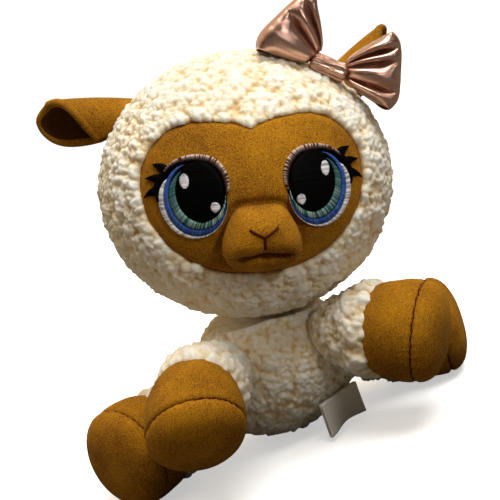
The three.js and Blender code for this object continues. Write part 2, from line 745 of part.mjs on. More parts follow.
for (const [name, side] of [['left', -1], ['right', 1]]) {
  const glintLift = THREAD_LIFT + THREAD_THICK + THREAD_GAP;
  addPiece(skull, `${name}_pupil`, ovalPatch(side, PUPIL, THREAD_LIFT, 16), 'black_thread');
  const inner = crescent(side, grow(PUPIL, THREAD_GAP), IRIS_MIDDLE, IRIS_ARC, 10);
  addPiece(skull, `${name}_iris_inner`, inner, 'teal_thread');
  const outer = crescent(side, grow(IRIS_MIDDLE, THREAD_GAP), IRIS_EDGE, IRIS_ARC, 10);
  addPiece(skull, `${name}_iris_outer`, outer, 'blue_thread');
  const white = crescent(side, grow(IRIS_EDGE, THREAD_GAP), EYE_EDGE, WHITE_ARC, 8);
  addPiece(skull, `${name}_eye_white`, white, 'white_thread');
  addPiece(skull, `${name}_lid`, crescent(side, LID_INNER, LID_OUTER, LID_ARC, 8), 'rose_thread');
  addPiece(skull, `${name}_lashes`, lashes(side), 'black_thread');
  addPiece(skull, `${name}_large_glint`, ovalPatch(side, LARGE_GLINT, glintLift, 8), 'white_thread');
  addPiece(skull, `${name}_small_glint`, ovalPatch(side, SMALL_GLINT, glintLift, 8), 'white_thread');
}

// Ears: a curled leaf of suede with a lining, on a ball in the head

function earGrid(ear, root, offset, from, width) {
  const lean = rad(ear.lean);
  const fall = rad(ear.lean - ear.droop);
  const first = vec(ear.side * Math.cos(lean), 0, Math.sin(lean)).multiplyScalar(EAR_LENGTH / 2);
  const second = vec(ear.side * Math.cos(fall), 0, Math.sin(fall)).multiplyScalar(EAR_LENGTH / 2);
  const bend = root.clone().add(first);
  const curve = new THREE.QuadraticBezierCurve3(root, bend, bend.clone().add(second));
  const [rows, columns] = EAR_FACETS;
  return Array.from({ length: rows }, (_, i) => {
    const t = lerp(from, 1, i / (rows - 1));
    const along = curve.getTangentAt(t);
    const wide = vec(0, -1, 0).applyAxisAngle(along, rad(-ear.side * ear.roll));
    const back = wide.clone().cross(along).multiplyScalar(ear.side);
    const swell = lerp(EAR_WAIST, 1, Math.sin((Math.PI / 2) * Math.min(1, t / EAR_WIDEST)));
    const half = (width / 2) * swell * lerp(1, EAR_TIP, t ** EAR_BLUNTNESS);
    const curl = rad(EAR_CURL);
    const radius = half / curl;
    return Array.from({ length: columns }, (_, j) => {
      const angle = curl * ((2 * j) / (columns - 1) - 1);
      return curve.getPointAt(t)
        .addScaledVector(wide, (radius + offset) * Math.sin(angle))
        .addScaledVector(back, (radius + offset) * Math.cos(angle) - radius);
    });
  });
}

// The head as an ear meets it over its swing, seen from the ear's root
function headSweep(root) {
  return EAR_SWING.map((angle) => {
    const seen = new THREE.Matrix4().makeRotationY(rad(angle))
      .multiply(new THREE.Matrix4().makeTranslation(root.clone().negate()));
    const grown = inset(headHalf, -BALL_GAP).divideScalar(facetDip(SWEEP_FACETS));
    return solid(ellipsoid(grown, SWEEP_FACETS).applyMatrix4(seen));
  });
}

EARS.forEach((ear, k) => {
  const root = earRoots[k];
  const group = new THREE.Group();
  group.position.copy(root);
  skull.add(group);
  const at = vec(0, 0, 0);
  const leaf = cut(solid(sheet(earGrid(ear, at, 0, EAR_START, EAR_WIDTH), SUEDE)), ...headSweep(root));
  addPiece(group, `${ear.name}_ear_outer`, leaf.add(ball(EAR_ROOT, at)), 'suede');
  const liningGrid = earGrid(ear, at, -(SUEDE + 2 * GAP), LINING_START, EAR_WIDTH - 2 * SUEDE);
  addPiece(group, `${ear.name}_ear_lining`, sheet(liningGrid, SUEDE), 'lining');
});

// Bow: a knot on the crown and two pleated loops

const bowNormal = vec(Math.cos(rad(BOW_RISE)), 0, Math.sin(rad(BOW_RISE)));
const bow = new THREE.Group();
const bowSeat = onHead(vec(headHalf.x * bowNormal.x, -BOW_FORWARD, headHalf.z * bowNormal.z));
bow.position.copy(bowSeat).addScaledVector(bowNormal, KNOT_THICK / 2 - KNOT_SINK);
bow.rotation.set(0, rad(BOW_SLOPE), 0);
skull.add(bow);
bow.updateWorldMatrix(true, false);
const headFromBow = bow.matrixWorld.clone().invert().multiply(skull.matrixWorld);

// A loop runs out from the knot, round its far end and back, and fans out as it goes
function loopGrid(side) {
  const rows = 11;
  const columns = 2 * LOOP_PLEATS + 1;
  const start = KNOT_THICK / 2 + GAP;
  return Array.from({ length: rows }, (_, i) => {
    const turn = Math.PI * (i / (rows - 1));
    const out = Math.sin(turn) ** LOOP_BLUNTNESS;
    const swing = -Math.cos(turn);
    const face = Math.sign(swing);
    const bulge = face * (LOOP_DEPTH / 2) * Math.sqrt(out * Math.abs(swing));
    const stub = FOIL * swing;
    const width = lerp(LOOP_PINCH, LOOP_WIDTH, out);
    const rise = face * PLEAT_DEPTH * Math.min(1 - out / 2, 3 * out, 0.2 + Math.abs(swing));
    return Array.from({ length: columns }, (_, j) => {
      const share = j / (columns - 1);
      const pleat = rise * Math.cos(2 * Math.PI * LOOP_PLEATS * share);
      return vec(side * (start + LOOP_LENGTH * out), stub + bulge + pleat, width * (share - 0.5));
    });
  });
}

const knot = new THREE.CapsuleGeometry(KNOT_THICK / 2, KNOT_LENGTH - KNOT_THICK, 4, 12).rotateZ(Math.PI / 2);
const knotSeat = solid(woollyEgg(-GAP).applyMatrix4(headFromBow));
addPiece(bow, 'bow_knot', cut(solid(knot), knotSeat), 'foil');
for (const [name, side] of [['left', -1], ['right', 1]]) {
  const loop = addPiece(bow, `bow_${name}_loop`, sheet(loopGrid(side), FOIL), 'foil');
  loop.position.set(side * (KNOT_LENGTH - KNOT_THICK) / 2, 0, 0);
  loop.rotation.set(0, -side * rad(LOOP_LIFT), 0);
}

// Care label: a tape folded double, sewn low on the body

function labelGrid() {
  const ply = (LABEL_PLY_GAP + LABEL_THICK) / 2;
  const profile = [[-ply, 0], [-ply, -LABEL_LENGTH * 0.5], [-ply, -LABEL_LENGTH + ply], [0, -LABEL_LENGTH],
    [ply, -LABEL_LENGTH + ply], [ply, -LABEL_LENGTH * 0.5], [ply, 0]];
  return profile.map(([y, z]) => [vec(-LABEL_WIDTH / 2, y, z), vec(LABEL_WIDTH / 2, y, z)]);
}

const label = new THREE.Group();
label.position.copy(onBody(1, LABEL_ANGLE, LABEL_HEIGHT, -(LABEL_THICK + LABEL_PLY_GAP + GAP)));
label.rotation.set(0, 0, rad(LABEL_ANGLE));
lamb.add(label);
addPiece(label, 'care_label', sheet(labelGrid(), LABEL_THICK), 'tape');

export default lamb;
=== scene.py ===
# %% [markdown]
# # A sitting plush lamb
# The lamb is sewn from two cloths: a curly cream fleece for the head, body and sleeves, and a smooth ochre
# suede for the face, ears and hooves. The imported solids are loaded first. They fix where everything is, so
# each piece below is modelled in the same place and then stands for its solid.

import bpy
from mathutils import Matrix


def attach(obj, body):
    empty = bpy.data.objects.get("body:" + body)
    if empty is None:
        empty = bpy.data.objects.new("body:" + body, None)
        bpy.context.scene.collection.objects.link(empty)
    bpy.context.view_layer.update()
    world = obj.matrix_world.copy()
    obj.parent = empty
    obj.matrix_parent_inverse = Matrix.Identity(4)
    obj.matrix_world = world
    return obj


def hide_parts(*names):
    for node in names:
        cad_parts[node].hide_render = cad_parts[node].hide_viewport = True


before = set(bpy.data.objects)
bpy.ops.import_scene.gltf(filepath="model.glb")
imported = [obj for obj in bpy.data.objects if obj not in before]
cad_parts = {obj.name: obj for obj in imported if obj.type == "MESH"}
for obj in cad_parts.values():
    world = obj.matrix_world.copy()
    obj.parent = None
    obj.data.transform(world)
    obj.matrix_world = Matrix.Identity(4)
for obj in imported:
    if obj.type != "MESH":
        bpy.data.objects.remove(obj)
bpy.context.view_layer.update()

# %% [markdown]
# ## Camera
# The toy is seen from the left and a little above, with the camera rolled. The camera starts at the point it
# looks at, is turned by azimuth, elevation and roll, and then backs off along its own axis. A long lens keeps
# the big head from looking bulged.

# %% Camera
import math

import bmesh
import bpy
import numpy as np
from mathutils import Matrix, Vector, noise
from mathutils.bvhtree import BVHTree

MM = 0.001
AZIMUTH, ELEVATION, ROLL = (math.radians(a) for a in (-10.6, 11.2, 18.6))
AIM, DISTANCE = Vector((4.5, -10, 90.1)), 410.1
LENS, SENSOR, NEAREST = 64.8, 36, 0.01
scene = bpy.context.scene
camera = bpy.data.objects.new("camera", bpy.data.cameras.new("camera"))
camera.data.lens, camera.data.sensor_width, camera.data.clip_start = LENS, SENSOR, NEAREST
turned = (Matrix.Rotation(AZIMUTH, 4, "Z") @ Matrix.Rotation(math.pi / 2 - ELEVATION, 4, "X")
          @ Matrix.Rotation(-ROLL, 4, "Z"))
camera.matrix_world = Matrix.Translation(AIM * MM) @ turned @ Matrix.Translation((0, 0, DISTANCE * MM))
scene.collection.objects.link(camera)
scene.camera = camera
print("camera at", [round(v, 3) for v in camera.location])

# %% [markdown]
# ## From a flat grid to a sewn piece
# Most pieces of a plush toy are a flat cut of cloth that is bent and sewn up. `bent_grid` does the same: it
# makes a flat grid, moves every point with a function, and merges the edges that meet. All shapes are worked
# out in millimetres. `add_piece` moves them to their place, shrinks them to metres, links them and hides the
# solids they stand for.

# %% Helpers for shapes and pieces
SAME_PLACE = 0.002


def lerp(a, b, share):
    return a + (b - a) * share


def smooth(low, high, value):
    share = min(1, max(0, (value - low) / (high - low)))
    return share * share * (3 - 2 * share)


def bent_grid(columns, rows, place):
    form = bmesh.new()
    bmesh.ops.create_grid(form, x_segments=columns, y_segments=rows, size=1)
    for vert in form.verts:
        vert.co = place((vert.co.x + 1) / 2, (vert.co.y + 1) / 2)
    bmesh.ops.remove_doubles(form, verts=form.verts, dist=SAME_PLACE)
    bmesh.ops.recalc_face_normals(form, faces=form.faces)
    return form


def add_piece(name, form, look, body, slot, *solids, moved=None):
    if moved is not None:
        bmesh.ops.transform(form, matrix=moved, verts=form.verts)
    bmesh.ops.scale(form, vec=(MM, MM, MM), verts=form.verts)
    mesh = bpy.data.meshes.new(name)
    form.to_mesh(mesh)
    form.free()
    mesh.materials.append(look)
    mesh.shade_smooth()
    piece = bpy.data.objects.new(name, mesh)
    scene.collection.objects.link(piece)
    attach(piece, body)
    if solids:
        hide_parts(*solids)
    print(f"{name}: {len(mesh.polygons)} faces")
    return piece


# %% [markdown]
# ## Shared effects for the materials
# Several finishes need a mottled colour with a fine grain. This is a node group, so each material only gives
# its own colours and sizes. The group puts out a colour and a height, and the shader stays in the material.

# %% Node groups
COLOUR, VALUE = "NodeSocketColor", "NodeSocketFloat"
PATCH_SHARE, GRAIN_SHARE = 0.6, 1.4


def set_values(node, values):
    for label, value in values.items():
        node.inputs[label].default_value = value


def texture(tree, kind, **values):
    node = tree.nodes.new(kind)
    set_values(node, values)
    return node


def feed(tree, socket, value):
    """Links an output to a socket, or gives the socket a plain value."""
    if isinstance(value, bpy.types.NodeSocket):
        tree.links.new(value, socket)
    else:
        socket.default_value = value


def math_node(tree, operation, first, second):
    node = tree.nodes.new("ShaderNodeMath")
    node.operation = operation
    for socket, value in zip(node.inputs, (first, second)):
        feed(tree, socket, value)
    return node.outputs[0]


def mix_colour(tree, share, first, second, blend="MIX"):
    node = tree.nodes.new("ShaderNodeMix")
    node.data_type, node.blend_type = "RGBA", blend
    for k, value in ((0, share), (6, first), (7, second)):
        feed(tree, node.inputs[k], value)
    return node.outputs[2]


def build_nap():
    """Mottled cloth: broad patches of two colours, with a fine grain that also lifts the surface."""
    wants = {"Light": COLOUR, "Dark": COLOUR, "Patch": VALUE, "Grain": VALUE, "Contrast": VALUE}
    tree = bpy.data.node_groups.new("nap", "ShaderNodeTree")
    for way, sockets in (("INPUT", wants), ("OUTPUT", {"Color": COLOUR, "Height": VALUE})):
        for label, kind in sockets.items():
            tree.interface.new_socket(label, in_out=way, socket_type=kind)
    given, made = (tree.nodes.new(kind) for kind in ("NodeGroupInput", "NodeGroupOutput"))
    where = tree.nodes.new("ShaderNodeTexCoord").outputs["Object"]
    patches = texture(tree, "ShaderNodeTexNoise", Detail=4.0, Roughness=0.6)
    grain = texture(tree, "ShaderNodeTexNoise", Detail=3.0, Roughness=0.7)
    for node, label in ((patches, "Patch"), (grain, "Grain")):
        tree.links.new(where, node.inputs["Vector"])
        tree.links.new(given.outputs[label], node.inputs["Scale"])
    broad = math_node(tree, "MULTIPLY", patches.outputs["Fac"], PATCH_SHARE)
    both = math_node(tree, "ADD", broad, math_node(tree, "MULTIPLY", grain.outputs["Fac"], GRAIN_SHARE))
    centred = math_node(tree, "SUBTRACT", both, (PATCH_SHARE + GRAIN_SHARE) / 2)
    share = math_node(tree, "ADD", math_node(tree, "MULTIPLY", centred, given.outputs["Contrast"]), 0.5)
    colour = mix_colour(tree, share, given.outputs["Dark"], given.outputs["Light"])
    tree.links.new(colour, made.inputs["Color"])
    tree.links.new(grain.outputs["Fac"], made.inputs["Height"])
    return tree


NAP = build_nap()
print("groups:", [g.name for g in bpy.data.node_groups])

# %% [markdown]
# ## Suede, lining and thread
# The suede is a brushed knit: matt from the front, with a pale sheen where it turns away, and small darker
# clouds where the nap lies the other way. `cloth` joins the nap group to a shader.

# %% Cloth materials


def rgb(red, green, blue):
    """Eight-bit picture colours as the linear colours that a shader takes."""
    return (*(((v / 255 + 0.055) / 1.055) ** 2.4 if v > 10 else v / 3295 for v in (red, green, blue)), 1.0)


def cloth(name, light, dark, patch, grain, contrast, bump, roughness, sheen=0.0, gloss=0.5, **sockets):
    look = bpy.data.materials.new(name)
    look.use_nodes = True
    tree = look.node_tree
    shader = tree.nodes["Principled BSDF"]
    nap = tree.nodes.new("ShaderNodeGroup")
    nap.node_tree = NAP
    set_values(nap, {"Light": light, "Dark": dark, "Patch": patch, "Grain": grain, "Contrast": contrast})
    lift = texture(tree, "ShaderNodeBump", Strength=1.0, Distance=bump * MM)
    tree.links.new(nap.outputs["Height"], lift.inputs["Height"])
    tree.links.new(nap.outputs["Color"], shader.inputs["Base Color"])
    tree.links.new(lift.outputs["Normal"], shader.inputs["Normal"])
    plain = {"Roughness": roughness, "Specular IOR Level": gloss, "Sheen Weight": sheen}
    set_values(shader, {**plain, "Sheen Roughness": 0.4, **sockets})
    return look


SUEDE = cloth("suede", rgb(188, 128, 18), rgb(105, 62, 6), 45.0, 1900.0, 2.5, 0.3, 0.9, 0.05, 0.15,
              **{"Sheen Tint": rgb(255, 206, 120)})
LINING = cloth("ear_lining", rgb(92, 54, 18), rgb(56, 32, 12), 90.0, 1500.0, 1.2, 0.16, 0.9, gloss=0.1)
BROWN_THREAD = cloth("brown_thread", rgb(96, 32, 20), rgb(50, 15, 10), 260.0, 2600.0, 1.1, 0.12, 0.7,
                     gloss=0.1)
TAPE = cloth("label_tape", rgb(248, 246, 240), rgb(226, 222, 212), 120.0, 2400.0, 0.8, 0.08, 0.6, 0.1)
WADDING = cloth("wadding", rgb(246, 243, 236), rgb(214, 208, 196), 160.0, 900.0, 1.0, 0.5, 0.95)
print("cloth:", [look.name for look in (SUEDE, LINING, BROWN_THREAD, TAPE, WADDING)])

# %% [markdown]
# ## Fleece
# Sherpa fleece is knitted in loops that curl up into soft lumps of about 5 mm. A plain bump would leave the
# outline smooth, so the lumps are real: every point of a dense base is pushed out by a cell pattern, and a
# little away from its lump's middle so that the lumps overhang the gaps. The height is kept as an attribute,
# because the gaps get painted shade: a darker, yellower colour than the tips. Blender seeds one of these
# noises by the clock, so a seed is set here, and the pile is the same in each run.

# %% Fleece: height of the pile
NOISE_SEED = 11
TUFT, CURL, TUFT_SPREAD, BARE = 4.8, 2.2, 0.12, 0.25
LUMP_SHARE, SWELL_SHARE, KNOT_SHARE, SWELL_SIZE = 0.44, 0.22, 0.34, 11
noise.seed_set(NOISE_SEED)


def drifted(point, size, reach):
    """Moves a point by a slow noise, so that the cells lie unevenly."""
    return point + noise.noise_vector(point / size) * reach


def dome(distances, sharpness, inset, fall):
    """1 in the middle of a cell, falling off to soft hollows where it meets the next ones."""
    least = -math.log(sum(math.exp(-sharpness * d) for d in distances[:3])) / sharpness
    return max(0, 1 - fall * max(0, least + inset) ** 2)


def pile_at(point):
    """The pile's height, 0 in a gap and 1 on a lump, and the way from the lump's middle."""
    spot = drifted(point, 6, 1.4) / TUFT
    near, middles = noise.voronoi(spot)
    fine, _ = noise.voronoi(drifted(point, 1.8, 0.6) / CURL)
    lump, knot = dome(near, 6, 0.1, 1.35), dome(fine, 7, 0.08, 1.4)
    swell = 0.5 + 0.5 * noise.noise(point / SWELL_SIZE + Vector((3, 1, 2)))
    stand = 0.8 + 0.2 * noise.cell(middles[0] * 5.3)
    height = LUMP_SHARE * lump * stand + SWELL_SHARE * swell + KNOT_SHARE * knot
    return height, (spot - middles[0]) * TUFT


def grow_fleece(form, rise, cover):
    """Pushes out a pile as far as cover(point) lets it, and keeps its height for the painted shade of the
    gaps.
    """
    layer = form.verts.layers.float.new("pile")
    form.normal_update()
    roots = [(vert, vert.co.copy(), vert.normal.copy()) for vert in form.verts]
    for vert, root, out in roots:
        share = cover(root)
        height, spread = pile_at(root)
        vert.co = root + (out * (rise * height) + spread * (TUFT_SPREAD * height)) * share
        # the height also paints shade: bare cloth gets the darkest gap colour
        vert[layer] = height * share + BARE * (1 - share)


print("pile at one point:", round(pile_at(Vector((2, 5, 9)))[0], 2))

# %% [markdown]
# The fleece is a cloth too. A ramp turns the kept height into painted shade, darker and yellower in the
# gaps, and `tint` lays that colour under the nap. Some light goes into the pile and comes out beside it,
# which makes it look soft.

# %% Fleece: material
# painted shade by pile height: darker and yellower in the gaps, near white on the tips
PILE_SHADE_COLOURS = ((0.27, rgb(233, 206, 158)), (0.47, rgb(250, 240, 218)), (0.68, rgb(255, 253, 248)))


def attribute(tree, label):
    node = tree.nodes.new("ShaderNodeAttribute")
    node.attribute_name = label
    return node.outputs["Fac"]


def colour_ramp(tree, stops, place):
    node = tree.nodes.new("ShaderNodeValToRGB")
    node.color_ramp.elements.new(0.5)
    for stop, (position, colour) in zip(node.color_ramp.elements, stops):
        stop.position, stop.color = position, colour
    tree.links.new(place, node.inputs["Fac"])
    return node.outputs["Color"]


def tint(look, colour):
    tree = look.node_tree
    base = tree.nodes["Principled BSDF"].inputs["Base Color"]
    tree.links.new(mix_colour(tree, 1.0, colour, base.links[0].from_socket, "MULTIPLY"), base)


FLEECE = cloth("fleece", rgb(255, 255, 253), rgb(242, 236, 224), 90.0, 900.0, 1.0, 0.45, 0.95, 0.25, 0.1,
               **{"Sheen Roughness": 0.6, "Subsurface Weight": 0.6, "Subsurface Scale": 0.002,
                  "Subsurface Radius": (1.0, 0.88, 0.7)})
# the ramp paints shade into the gaps of the fleece
tint(FLEECE, colour_ramp(FLEECE.node_tree, PILE_SHADE_COLOURS, attribute(FLEECE.node_tree, "pile")))
print("fleece:", len(FLEECE.node_tree.nodes), "nodes")

# %% [markdown]
# ## Head
# The head is a large stuffed egg that leans and turns on the neck, so everything on it is modelled upright
# and then moved by one matrix. The face is an opening in the fleece. Its heart-shaped edge is drawn with four
# Bezier curves, and turned into a table of reach by angle: that tells for any point whether it is inside.

# %% Head frame and face outline
HEAD_HALF, NECK, HEAD_MIDDLE = Vector((67, 57, 61)), Vector((0, -3, 62)), Vector((0, -4, 58))
HEAD_LEAN, HEAD_TURN = math.radians(13.5), math.radians(-8.5)
HEAD = (Matrix.Translation(NECK) @ Matrix.Rotation(HEAD_LEAN, 4, "Y") @ Matrix.Rotation(HEAD_TURN, 4, "Z")
        @ Matrix.Translation(HEAD_MIDDLE))
NOTCH, LOBE, CHEEK, CHIN = (0, 26.8), (22, 31), (47.5, 4.4), (14, -33.5)
FACE_CURVES = (
    (NOTCH, (4.5, 28.4), (9.5, 31), LOBE),
    (LOBE, (36.5, 31), (47.5, 19.6), CHEEK),
    (CHEEK, (47.5, -14.1), (33.1, -29.1), CHIN),
    (CHIN, (9.3, -34.5), (4.7, -34.5), (0, -34.5)),
)
CURVE_STEPS = np.linspace(0, 1, 24, endpoint=False)


def bezier(points, share):
    a, b, c, d = (np.array(p) for p in points)
    rest = 1 - share
    return a * rest**3 + 3 * b * rest**2 * share + 3 * c * rest * share**2 + d * share**3


def reach_by_angle(line):
    """A function for how far an outline reaches from its middle, at an angle from straight up."""
    angles, reaches = np.arctan2(line[:, 0], line[:, 1]), np.hypot(line[:, 0], line[:, 1])
    return lambda angle: float(np.interp(abs(angle), angles, reaches))


face_reach = reach_by_angle(np.array([bezier(curve, t) for curve in FACE_CURVES for t in CURVE_STEPS]))


def outside(reach, x, z):
    """Millimetres past an outline; less than nothing is inside."""
    return math.hypot(x, z) - reach(math.atan2(x, z))


print("face reaches", [round(face_reach(math.radians(a)), 1) for a in (0, 45, 90, 135, 180)])

# %% [markdown]
# The fleece of the head starts as a dense icosphere, because its points are spread evenly and it has no
# poles that would show. Inside the face it sinks under the suede, and round the edge the lumps lean over it.

# %% Head fleece
HEAD_BASE, HEAD_RISE, FACE_DIP = 3.3, 4.2, 0.045
RAGGED, RAGGED_SIZE = 0.9, 5
EDGE_LEAN, LEAN_WIDTH = 2.2, 4


def dense_ball(cuts):
    form = bmesh.new()
    bmesh.ops.create_icosphere(form, subdivisions=6, radius=1)
    bmesh.ops.subdivide_edges(form, edges=form.edges[:], cuts=cuts, use_grid_fill=True)
    for vert in form.verts:
        vert.co.normalize()
    return form


def past_seam(point):
    """Millimetres past the ragged line round the face where the pile starts."""
    if point.y >= 0:
        return math.inf
    return outside(face_reach, point.x, point.z) + RAGGED * noise.noise(point / RAGGED_SIZE)


def head_fleece():
    form = dense_ball(3)
    base = HEAD_HALF - Vector((HEAD_BASE,) * 3)
    for vert in form.verts:
        vert.co = Vector(a * b for a, b in zip(vert.co, base))
        vert.co *= 1 - FACE_DIP * (1 - smooth(-1.2, 0.6, past_seam(vert.co)))
    grow_fleece(form, HEAD_RISE, lambda point: smooth(-1.0, 1.0, past_seam(point)))
    layer = form.verts.layers.float["pile"]
    for vert in form.verts:
        past = outside(face_reach, vert.co.x, vert.co.z)
        if vert.co.y < 0 and -1 < past < 8:
            inward = Vector((-vert.co.x, 0, -vert.co.z)).normalized()
            vert.co += inward * (EDGE_LEAN * vert[layer] * math.exp(-((past / LEAN_WIDTH) ** 2)))
    return form


head = add_piece("head_fleece", head_fleece(), FLEECE, "head", "fleece", "head_cover", moved=HEAD)

# %% [markdown]
# ## Face
# The face is one cut of suede, stretched over the stuffing. It is a polar grid out to the heart-shaped edge,
# laid on the egg. A slight crown makes it look filled, and its rim turns down under the fleece.

# %% Face suede
FACE_HALF = HEAD_HALF - Vector((2.5,) * 3)
FACE_CROWN, RIM_DIP, FACE_MARGIN = 1.2, 2.2, 1.05
CLOUD, CLOUD_SIZE = 0.35, 11
MUZZLE_MIDDLE, MUZZLE_PULL, PULL_WIDTH = -18.5, 1.8, 1.5
MUZZLE_EDGE = ((0, 15), (8.6, 15), (12, 11.6), (15, 5.6), (16.8, 0), (17, -4), (15.6, -8.4), (11.6, -12),
               (5.6, -13.4), (0, -13.6))


def on_face(x, z, lift):
    """A point of the suede, above or below which a stitch may lie."""
    share = min(1.2, math.hypot(x, z) / face_reach(math.atan2(x, z)))
    level = max(0.02, 1 - (x / FACE_HALF.x) ** 2 - (z / FACE_HALF.z) ** 2)
    point = Vector((x, -FACE_HALF.y * math.sqrt(level), z))
    normal = Vector(p / h**2 for p, h in zip(point, FACE_HALF)).normalized()
    crown = FACE_CROWN * (1 - share**2) - RIM_DIP * smooth(0.9, 1.05, share)
    return point + normal * (lift + crown)


def rounded(corners, times=3):
    """Cuts the corners off an outline, a few times over."""
    line = np.array(corners, dtype=float)
    for _ in range(times):
        near, far = line[:-1], line[1:]
        cut = np.stack([near * 0.75 + far * 0.25, near * 0.25 + far * 0.75], axis=1).reshape(-1, 2)
        line = np.vstack([line[:1], cut, line[-1:]])
    return line


muzzle_reach = reach_by_angle(rounded(MUZZLE_EDGE))


def beside_muzzle(x, z):
    """How much a point of the face is pulled in by the muzzle's seam."""
    return math.exp(-((outside(muzzle_reach, x, z - MUZZLE_MIDDLE) / PULL_WIDTH) ** 2))


def face_point(turn, out):
    angle = math.tau * (turn - 0.5)
    reach = face_reach(angle) * FACE_MARGIN * out
    x, z = math.sin(angle) * reach, math.cos(angle) * reach
    cloud = CLOUD * noise.noise(Vector((x, 3, z)) / CLOUD_SIZE)
    return on_face(x, z, cloud - MUZZLE_PULL * beside_muzzle(x, z))


form = bent_grid(144, 48, face_point)
form.normal_update()
if sum(f.normal.y * f.calc_area() for f in form.faces) > 0:
    bmesh.ops.reverse_faces(form, faces=form.faces)
face = add_piece("face_suede", form, SUEDE, "head", "suede", "face_panel", moved=HEAD)

# %% [markdown]
# A piece of cloth also has a flat size: the heart is cut from 100 x 72 mm. Its outline's reach is taken at
# even turns round the middle.

# %% Face cut
FACE_FLAT, OUTLINE_STEPS = (0.1, 0.072), 144
turns = np.linspace(-math.pi, math.pi, OUTLINE_STEPS, endpoint=False)
reaches = np.array([face_reach(turn) for turn in turns])

# %% [markdown]
# ## Muzzle
# The muzzle is a stuffed swelling: a rounded trapezoid, narrow at the top, that is split by the mouth. Both
# parts use the same swelling, and a soft stop at the height of the mouth rolls their edges into the fold.

# %% Muzzle and chin
MUZZLE_ROOT, MUZZLE_LENGTH = 41, 17.5
BLUNTNESS, SQUARENESS = 0.55, 0.8
MOUTH, MOUTH_DEPTH, CHIN_SETBACK = -23.9, 5.5, 4.8
MUZZLE_OUT = MUZZLE_LENGTH - on_face(0, MUZZLE_MIDDLE, -FACE_CROWN * 0.7).y - MUZZLE_ROOT


def closed(form):
    """Fills the open ends of a shape."""
    bmesh.ops.holes_fill(form, edges=[e for e in form.edges if e.is_boundary])
    bmesh.ops.recalc_face_normals(form, faces=form.faces)
    return form


def soft_above(value, stop, softness=0.6):
    """Follows a value, but bends off before it falls below a stop."""
    return stop + softness * math.log1p(math.exp(min(60, (value - stop) / softness)))


def muzzle_point(turn, out, upper):
    angle = math.tau * (turn - 0.5)
    slope = math.pi / 2 * out
    y = -(MUZZLE_ROOT + MUZZLE_OUT * math.sin(slope) ** SQUARENESS)
    belly = lerp(0.92, 1, smooth(0, 0.35, out))
    wide = muzzle_reach(angle) * max(0, math.cos(slope)) ** BLUNTNESS * belly
    x, z = math.sin(angle) * wide, MUZZLE_MIDDLE + math.cos(angle) * wide
    lip = MOUTH + 1.2 * math.exp(-((x / 6) ** 2))
    open_here = 1 - smooth(8, 13.5, abs(x))
    gap = lerp(-0.8, 0.3, open_here)
    if upper:
        z = soft_above(z, lip + gap)
        fold = math.exp(-(z - lip) / 1.5)
    else:
        z = -soft_above(-z, -lip + gap)
        fold = math.exp(-(lip - z) / 1.8) + CHIN_SETBACK / MOUTH_DEPTH
    groove = 0.9 * math.exp(-((x / 1.7) ** 2)) * smooth(-14, -18, z)
    depth = (MOUTH_DEPTH * fold * open_here + groove) * smooth(0.15, 0.5, out)
    return Vector((x, y + depth, z))


for name, upper, solid in (("muzzle_suede", True, "muzzle_upper"), ("chin_suede", False, "muzzle_chin")):
    form = closed(bent_grid(112, 56, lambda turn, out: muzzle_point(turn, out, upper)))
    if upper:
        muzzle_tree = BVHTree.FromBMesh(form)
    muzzle = add_piece(name, form, SUEDE, "head", "suede", solid, moved=HEAD)

# %% [markdown]
# ## Nose
# The nose is only a Y of thick brown thread. A tube follows the muzzle's surface, found by looking along the
# depth at the muzzle that was just made, and waves in its width show the stitches.

# %% Nose stitch
NOSE_WIDTH, NOSE_HEIGHT, NOSE_REACH, NOSE_RISE, NOSE_STEM = 1.0, -15.6, 5.6, 3.4, 5.4
NOSE_LIFT, ODD_WAY = 0.25, Vector((0.31, 0.42, 0.85))


def on_muzzle(x, z):
    spot, normal, _, _ = muzzle_tree.ray_cast(Vector((x, -120, z)), Vector((0, 1, 0)))
    return spot + normal * NOSE_LIFT


def tube(points, radius, sides=10, steps=40, wave=0.0, waves=0):
    """A closed thread through a few points, rounded at both ends."""
    line, at = np.array([list(p) for p in points]), np.linspace(0, 1, len(points))
    shares = np.linspace(0, 1, steps + 1)
    path = [Vector(spot) for spot in zip(*(np.interp(shares, at, axis) for axis in line.T))]

    def place(turn, along):
        k = min(steps, max(0, round(along * steps)))
        ahead = (path[min(steps, k + 1)] - path[max(0, k - 1)]).normalized()
        across = ahead.cross(ODD_WAY).normalized()
        up = ahead.cross(across)
        end = min(k, steps - k) / 3
        width = radius * math.sqrt(min(1, max(0, 1 - (1 - min(1, end)) ** 2)))
        width *= 1 + wave * math.sin(math.tau * waves * along)
        angle = math.tau * turn
        return path[k] + (across * math.cos(angle) + up * math.sin(angle)) * width

    return bent_grid(sides, steps, place)


def join(forms):
    """Several shapes as one piece."""
    whole = bmesh.new()
    for form in forms:
        mesh = bpy.data.meshes.new("part")
        form.to_mesh(mesh)
        form.free()
        whole.from_mesh(mesh)
        bpy.data.meshes.remove(mesh)
    return whole


arms = [[on_muzzle(side * NOSE_REACH * t, NOSE_HEIGHT + NOSE_RISE * t**1.3) for t in np.linspace(1, 0, 9)]
        for side in (-1, 1)]
stem = [on_muzzle(0, NOSE_HEIGHT + 0.3 - NOSE_STEM * t) for t in np.linspace(0, 1, 9)]
form = join([tube(line, NOSE_WIDTH / 2, wave=0.12, waves=7) for line in (*arms, stem)])
add_piece("nose_thread", form, BROWN_THREAD, "head", "brown_thread", "nose_stitch", moved=HEAD)

# %% [markdown]
# ## Satin stitch
# The eyes are embroidered: each patch is a row of parallel threads that cross it from edge to edge. `satin`
# makes such a closed patch between two edges. It has four columns per thread for the ridges, and keeps three
# attributes for the colours: how far along, how far across, and a number of its own for each thread.

# %% Satin patches and thread colours
THREAD_LIFT, THREAD_THICK, THREAD_SUNK, RIDGE = 0.6, 0.5, 0.3, 0.07


def spot_key(point):
    return tuple(round(v, 3) for v in point)


